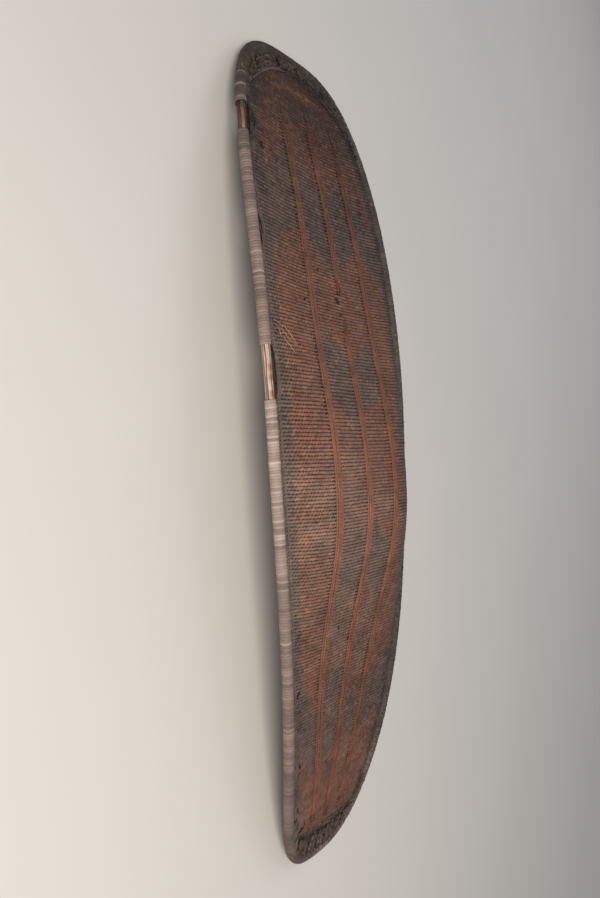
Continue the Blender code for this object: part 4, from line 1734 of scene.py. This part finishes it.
    def fuzz(self, top: bool, rng: Random) -> Stitches:
        """Short frayed fibres, which lie on the band in all directions."""
        reach = self.layout.band_reach(top) - 3 * MM
        x = rng.uniform(-reach, reach, self.fibres)
        share = -0.10 + 1.06 * rng.random(x.size)
        y = self.across(x, share, top)
        beside = np.min([np.abs(x - s) for s in self.slits(top)], axis=0)
        clear = beside > (1.1 if top else 0.55) * self.slit_width
        clear &= (share > 0.16) | (x > -0.025) | (not top)
        clear &= np.abs(self.across(x, 1.0, top) - self.across(x, 0.0, top)) > 9 * MM
        x, y, share = x[clear], y[clear], share[clear]
        out = self.form.normal(x, y)
        turn = np.where(
            rng.random(x.size) < 0.6, rng.normal(0.0 if top else 1.4, 0.5, x.size),
            rng.uniform(0, math.pi, x.size))
        ahead = vectors(np.cos(turn), np.sin(turn), 0.25 * rng.normal(0, 1, x.size))
        along = unit(ahead - out * (ahead * out).sum(axis=1, keepdims=True) * 0.8)
        size = random_sizes(rng, x.size, (4, 12), (0.9, 2.4), (0.9, 1.5))
        lift = self.face_lift - 0.2 * MM + 3.4 * MM * ease(share * 4)
        return Stitches(
            self.form.surface(x, y, lift), along, out, size, rng.random(x.size) ** 1.3,
            np.where(top, 0.62 * rng.random(x.size) ** 1.7, 0.22 + 0.70 * rng.random(x.size)))

    def build(self) -> None:
        """Make both bands."""
        finish = self.finishes.band
        for top, label in ((True, "top"), (False, "bottom")):
            rng = seeded(70 + top)
            place_piece(self.ground(top), "dark_cane", f"end_band_{label}")
            self.sweep(
                f"end_strip_{label}", self.edge_strip(top, rng), self.finishes.binding, 3.9 * MM,
                2.6 * MM, "dark_cane")
            self.sweep(
                f"end_pads_{label}", self.top_strands(rng) if top else self.bottom_strands(rng),
                finish, (4.6 if top else 3.8) * MM, 3.4 * MM, "dark_cane")
            for kind, stitches, facets in (("lacing", self.lacing, 6), ("fibres", self.fuzz, 4)):
                self.lay(
                    f"end_{kind}_{label}", stitches(top, rng), finish, "dark_cane", facets=facets,
                    wobble=10.0, spread=0.12, seed=75 + top)


# Hand grip


@dataclass
class HandGrip(Assembly):
    """Carved grip on the back with a cane lashing round each foot."""

    length: float = 0.230
    foot_width: float = 0.036
    foot_length: float = 0.040
    foot_depth: float = 0.012
    bend: float = 0.022
    neck: float = 0.010
    handle_width: float = 0.026
    handle_depth: float = 0.024
    finger_gap: float = 0.038
    seat: float = 0.0005
    lashing_width: float = 0.024
    lashing_thickness: float = 0.003
    turns: int = 6

    def back(self, x: Array, y: Array) -> Array:
        """Height of the panel's back."""
        return self.form.height(x, y) - self.form.panel_thickness / 2 - self.seat

    def ring(self, y: float, angle: Array, margin: float) -> Array:
        """Points round the grip at one place along it, moved out by a margin."""
        inward = self.length / 2 - abs(y - self.form.dome_y)
        seat = float(self.back(np.array(0.0), np.array(y)))
        top_part = float(ease(np.array((inward - self.foot_length) / self.bend)))
        low_part = float(ease(np.array((inward - self.foot_length + self.neck) / self.bend)))
        top = seat - self.finger_gap * top_part
        drop = self.finger_gap + self.handle_depth - self.foot_depth
        bottom = seat - self.foot_depth - drop * low_part
        half = (self.foot_width + (self.handle_width - self.foot_width) * low_part) / 2
        roundness = 0.33 + 0.5 * top_part
        cos, sin = np.cos(angle), np.sin(angle)
        across = np.copysign(np.abs(cos) ** roundness, cos) * (half + margin)
        rise = np.copysign(np.abs(sin) ** roundness, sin) * ((top - bottom) / 2 + margin)
        return vectors(across, y, (top + bottom) / 2 + rise)

    def wood(self) -> Object:
        """The carved grip, with worn ends."""
        sides, worn = 32, 3 * MM
        angle = (np.arange(sides) + 0.5) * 2 * math.pi / sides
        half = self.length / 2
        rings = []
        for share in np.sin(np.linspace(-math.pi / 2, math.pi / 2, 97)):
            ring = self.ring(self.form.dome_y + share * half, angle, 0.0)
            inward = min(half * (1 - abs(share)) / worn, 1.0)
            rounded = math.sqrt(max(1 - (1 - inward) ** 2, 0.02))
            middle = ring.mean(axis=0)
            rings.append(middle + (ring - middle) * (0.9 + 0.1 * rounded))
        return solid_object(
            "grip_wood", np.concatenate(rings), tube_faces(len(rings), sides), self.finishes.wood)

    def lashing(self, middle: float, rng: Random) -> list[Strand]:
        """Flat turns of cane slung side by side under one foot."""
        angle = math.pi + (np.arange(24) + 0.5) * math.pi / 24
        strands = []
        for k in range(self.turns):
            y = middle + ((k + 0.5) / self.turns - 0.5) * self.lashing_width
            under = self.ring(y, angle, self.seat + self.lashing_thickness / 2)
            legs = []
            for side in (under[0], under[-1]):
                top = float(self.back(np.array(side[0]), np.array(y))) + 1.2 * MM
                legs.append(vectors(side[0], y, np.linspace(side[2], top, 5)[1:]))
            path = np.concatenate([legs[0][::-1], under, legs[1]])
            path[:, 1] += np.linspace(-0.4, 0.4, len(path)) * MM
            tangent = unit(np.gradient(path, axis=0))
            out = unit(np.cross(tangent, (0.0, 1.0, 0.0)))
            centre = under.mean(axis=0)
            flip = np.sign(((path - centre) * out).sum(axis=1))
            out = out * np.where(flip == 0, 1, flip)[:, None]
            strands.append(Strand(
                path, out, np.ones(len(path)), 0.5 + 0.3 * rng.random(), 0.4 + 0.3 * rng.random()))
        return strands

    def build(self) -> None:
        """Make the grip and its two lashings."""
        place_piece(self.wood(), "grip_wood", "hand_grip")
        offset = self.length / 2 - (self.foot_length - self.neck) / 2
        for label, side, seed in (("upper", 1, 81), ("lower", -1, 82)):
            turns = self.lashing(self.form.dome_y + side * offset, seeded(seed))
            self.sweep(
                f"grip_turns_{label}", turns, self.finishes.binding,
                self.lashing_width / self.turns * 1.02, self.lashing_thickness * 0.9, "lashing",
                f"grip_lashing_{label}")


# Loose ends


# Start and end in millimetres, how far the middle lifts in millimetres, and stain
Curl = tuple[Pair, Pair, float, float]
# Place in millimetres, spread along the rim in metres, and number of hairs
Tuft = tuple[float, float, float, int]


@dataclass
class LooseEnds(Assembly):
    """Broken and frayed ends of cane at the rim and on the face."""

    curls: tuple[Curl, ...] = (
        ((-171, 126), (-160, 134), 3.0, 0.7), ((-176, 322), (-174, 290), 1.0, 0.35),
        ((-174, 300), (-175, 244), 0.8, 0.30), ((-175, 240), (-176, 186), 0.8, 0.30),
        ((-169, 222), (-160, 214), 1.5, 0.5))
    orange_curls: tuple[Curl, ...] = (
        ((-171, 188), (-158, 174), 4.0, 0.95), ((-168, 182), (-163, 162), 3.0, 0.9),
        ((-163, 178), (-146, 158), 1.0, 0.9), ((-156, 182), (-140, 164), 0.8, 0.85),
        ((-150, 176), (-132, 152), 0.7, 0.9), ((-158, 164), (-140, 142), 0.8, 0.8),
        ((-146, 160), (-128, 148), 0.7, 0.95), ((-166, 168), (-152, 170), 2.0, 0.9))
    tufts: tuple[Tuft, ...] = (
        (18, 643, 0.030, 7), (-62, 640, 0.020, 5), (-44, 642, 0.006, 5), (186, 196, 0.014, 5),
        (186, 236, 0.016, 4), (187, 150, 0.012, 4), (150, 520, 0.030, 6), (96, -560, 0.040, 6),
        (130, -470, 0.030, 5))
    orange_tufts: tuple[Tuft, ...] = ((-150, 567, 0.009, 12),)

    def build(self) -> None:
        """Make the strands that have come loose and the tufts of fibre, in two finishes."""
        rng = seeded(91)
        for name, curls, tufts, finish, slot in (
                ("loose", self.curls, self.tufts, self.finishes.binding, "binding"),
                ("orange", self.orange_curls, self.orange_tufts, self.finishes.rod, "bare_rod")):
            strands = [self.curl(*curl, rng) for curl in curls]
            hairs = [hair for tuft in tufts for hair in self.tuft(*tuft, rng)]
            for kind, paths, width in (("ends", strands, 1.1 * MM), ("tufts", hairs, 0.9 * MM)):
                self.sweep(
                    f"{name}_cane_{kind}", paths, finish, width, width * 0.8, slot, facets=5)

    def curl(self, start: Pair, end: Pair, rise: float, dye: float, rng: Random) -> Strand:
        """A loose strand between two places given in millimetres, lifted in the middle."""
        share = np.linspace(0, 1, 9)
        x = (start[0] + (end[0] - start[0]) * share) * MM
        y = (start[1] + (end[1] - start[1]) * share) * MM
        lift = (3.2 + rise * np.sin(math.pi * share * 0.8)) * MM
        girth = np.interp(share, (0, 0.15, 0.8, 1), (0.7, 1, 1, 0.4))
        return self.strand(x, y, lift, girth, dye, 0.5 + 0.2 * rng.random())

    def tuft(self, x: float, y: float, spread: float, count: int, rng: Random) -> list[Strand]:
        """Short hairs of cane that stand out of the rim near a place in millimetres."""
        rim = self.form.rim_stations(1 * MM)
        nearest = int(np.argmin(((rim.place[:, :2] - np.array((x, y)) * MM) ** 2).sum(1)))
        hairs = []
        for _ in range(count):
            shift = int(rng.normal(0, spread / MM / 3))
            index = (nearest + shift) % len(rim.place)
            place, along, outward, upward = (
                rows[index] for rows in (rim.place, rim.along, rim.outward, rim.upward))
            lean = rng.uniform(0.2, 1.1)
            root = place + (outward * math.cos(lean) + upward * math.sin(lean)) * 7.6 * MM
            ahead = unit(
                upward * 0.6 - outward * rng.uniform(0, 0.5) + along * rng.uniform(-1.2, 1.2))
            share = np.linspace(0, 1, 5)[:, None]
            length = rng.uniform(3, 6) * MM
            path = root + ahead * length * share - upward * length * 0.3 * share ** 2
            hairs.append(Strand(
                path, np.tile(upward, (5, 1)), np.linspace(1, 0.4, 5), rng.uniform(0.4, 0.9),
                rng.uniform(0.4, 0.8)))
        return hairs


# Studio


@dataclass
class Studio:
    """Pale floor, soft lights and the camera."""

    distance: float = 1.2209
    swing: float = math.radians(54.357)
    elevation: float = math.radians(0.0107)
    yaw: float = math.radians(-0.049)
    pitch: float = math.radians(0.406)
    roll: float = math.radians(-1.8955)
    focal_pixels: float = 748.03
    frame_height_pixels: float = 898.0
    sensor: float = 36.0
    target_height: float = 0.0085

    def camera(self) -> None:
        """Set the camera where the photograph was taken from."""
        cos_e, sin_e = math.cos(self.elevation), math.sin(self.elevation)
        position = self.distance * Vector((
            -math.sin(self.swing) * cos_e, sin_e, math.cos(self.swing) * cos_e))
        ahead = -position.normalized()
        right = ahead.cross(Vector((0.0, 1.0, 0.0))).normalized()
        up = right.cross(ahead)

        def turn(a: Vector, b: Vector, angle: float) -> tuple[Vector, Vector]:
            """Turn two square directions in their own plane."""
            cos, sin = math.cos(angle), math.sin(angle)
            return a * cos + b * sin, b * cos - a * sin

        ahead, right = turn(ahead, right, self.yaw)
        ahead, up = turn(ahead, up, self.pitch)
        right, up = turn(right, up, self.roll)
        matrix = Matrix((right, up, -ahead)).transposed().to_4x4()
        matrix.translation = position + Vector((0.0, 0.0, self.target_height))
        data = bpy.data.cameras.new("camera")
        data.sensor_width = self.sensor
        data.lens = self.focal_pixels / self.frame_height_pixels * self.sensor
        data.clip_start = 0.05
        camera = add_object("camera", data)
        camera.matrix_world = matrix
        bpy.context.scene.camera = camera

    @staticmethod
    def floor() -> None:
        """A pale matt floor, with a faint mottle so that it isn't one flat colour."""
        half = 12.0
        mesh = bpy.data.meshes.new("floor")
        corners = [(-half, -half, 0), (half, -half, 0), (half, half, 0), (-half, half, 0)]
        mesh.from_pydata(corners, [], [(0, 1, 2, 3)])
        material, tree, place = new_material("pale studio floor")
        mottle = add(tree, "ShaderNodeTexNoise", {"Vector": place, "Scale": 3.0})
        ramp = add(tree, "ShaderNodeValToRGB", {"Fac": mottle})
        for stop, colour in zip(ramp.color_ramp.elements, ("dbd8d3", "e1ded9")):
            stop.color = linear(colour)
        shader = add(tree, "ShaderNodeBsdfPrincipled", {"Base Color": ramp, "Roughness": 0.85})
        add(tree, "ShaderNodeOutputMaterial", {"Surface": shader})
        mesh.materials.append(material)
        add_object("floor", mesh)

    @staticmethod
    def light(name: str, place: Triple, size: float, power: float, colour: str) -> None:
        """A square soft light that faces the shield's middle."""
        data = bpy.data.lights.new(name, "AREA")
        data.shape = "SQUARE"
        data.size = size
        data.energy = power
        data.color = linear(colour)[:3]
        lamp = add_object(name, data)
        lamp.location = place
        aim = Vector((0.0, 0.0, 0.05)) - Vector(place)
        lamp.rotation_euler = aim.to_track_quat("-Z", "Y").to_euler()

    def build(self) -> None:
        """Set the camera, the floor and the lights."""
        self.camera()
        self.floor()
        self.light("key", (-1.7, -0.5, 1.8), 1.3, 52.0, "fff6ec")
        self.light("fill", (1.6, 1.2, 2.0), 2.0, 12.0, "eef3ff")
        world = bpy.data.worlds.new("studio air")
        world.use_nodes = True
        sky = world.node_tree.nodes["Background"].inputs
        sky["Color"].default_value = linear("d8dade")
        sky["Strength"].default_value = 0.35
        bpy.context.scene.world = world
        bpy.context.scene.view_settings.view_transform = "Standard"


def main() -> None:
    """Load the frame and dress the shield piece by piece."""
    logging.basicConfig(level=logging.INFO, format="%(name)s: %(message)s")
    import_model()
    Studio().build()
    form = ShieldForm()
    layout = Layout(form)
    shop = Workshop(
        form, layout, StainPattern(layout), Finishes.make(),
        {shape: StitchRecipe(shape) for shape in UnitShape}, StrandRecipe())
    panel = WovenPanel(shop)
    for part in (
            panel, Rim(shop), Ribs(shop, panel), EndBands(shop), HandGrip(shop), LooseEnds(shop)):
        part.build()
        log.info("%s done", type(part).__name__)


if __name__ == "__main__":
    main()
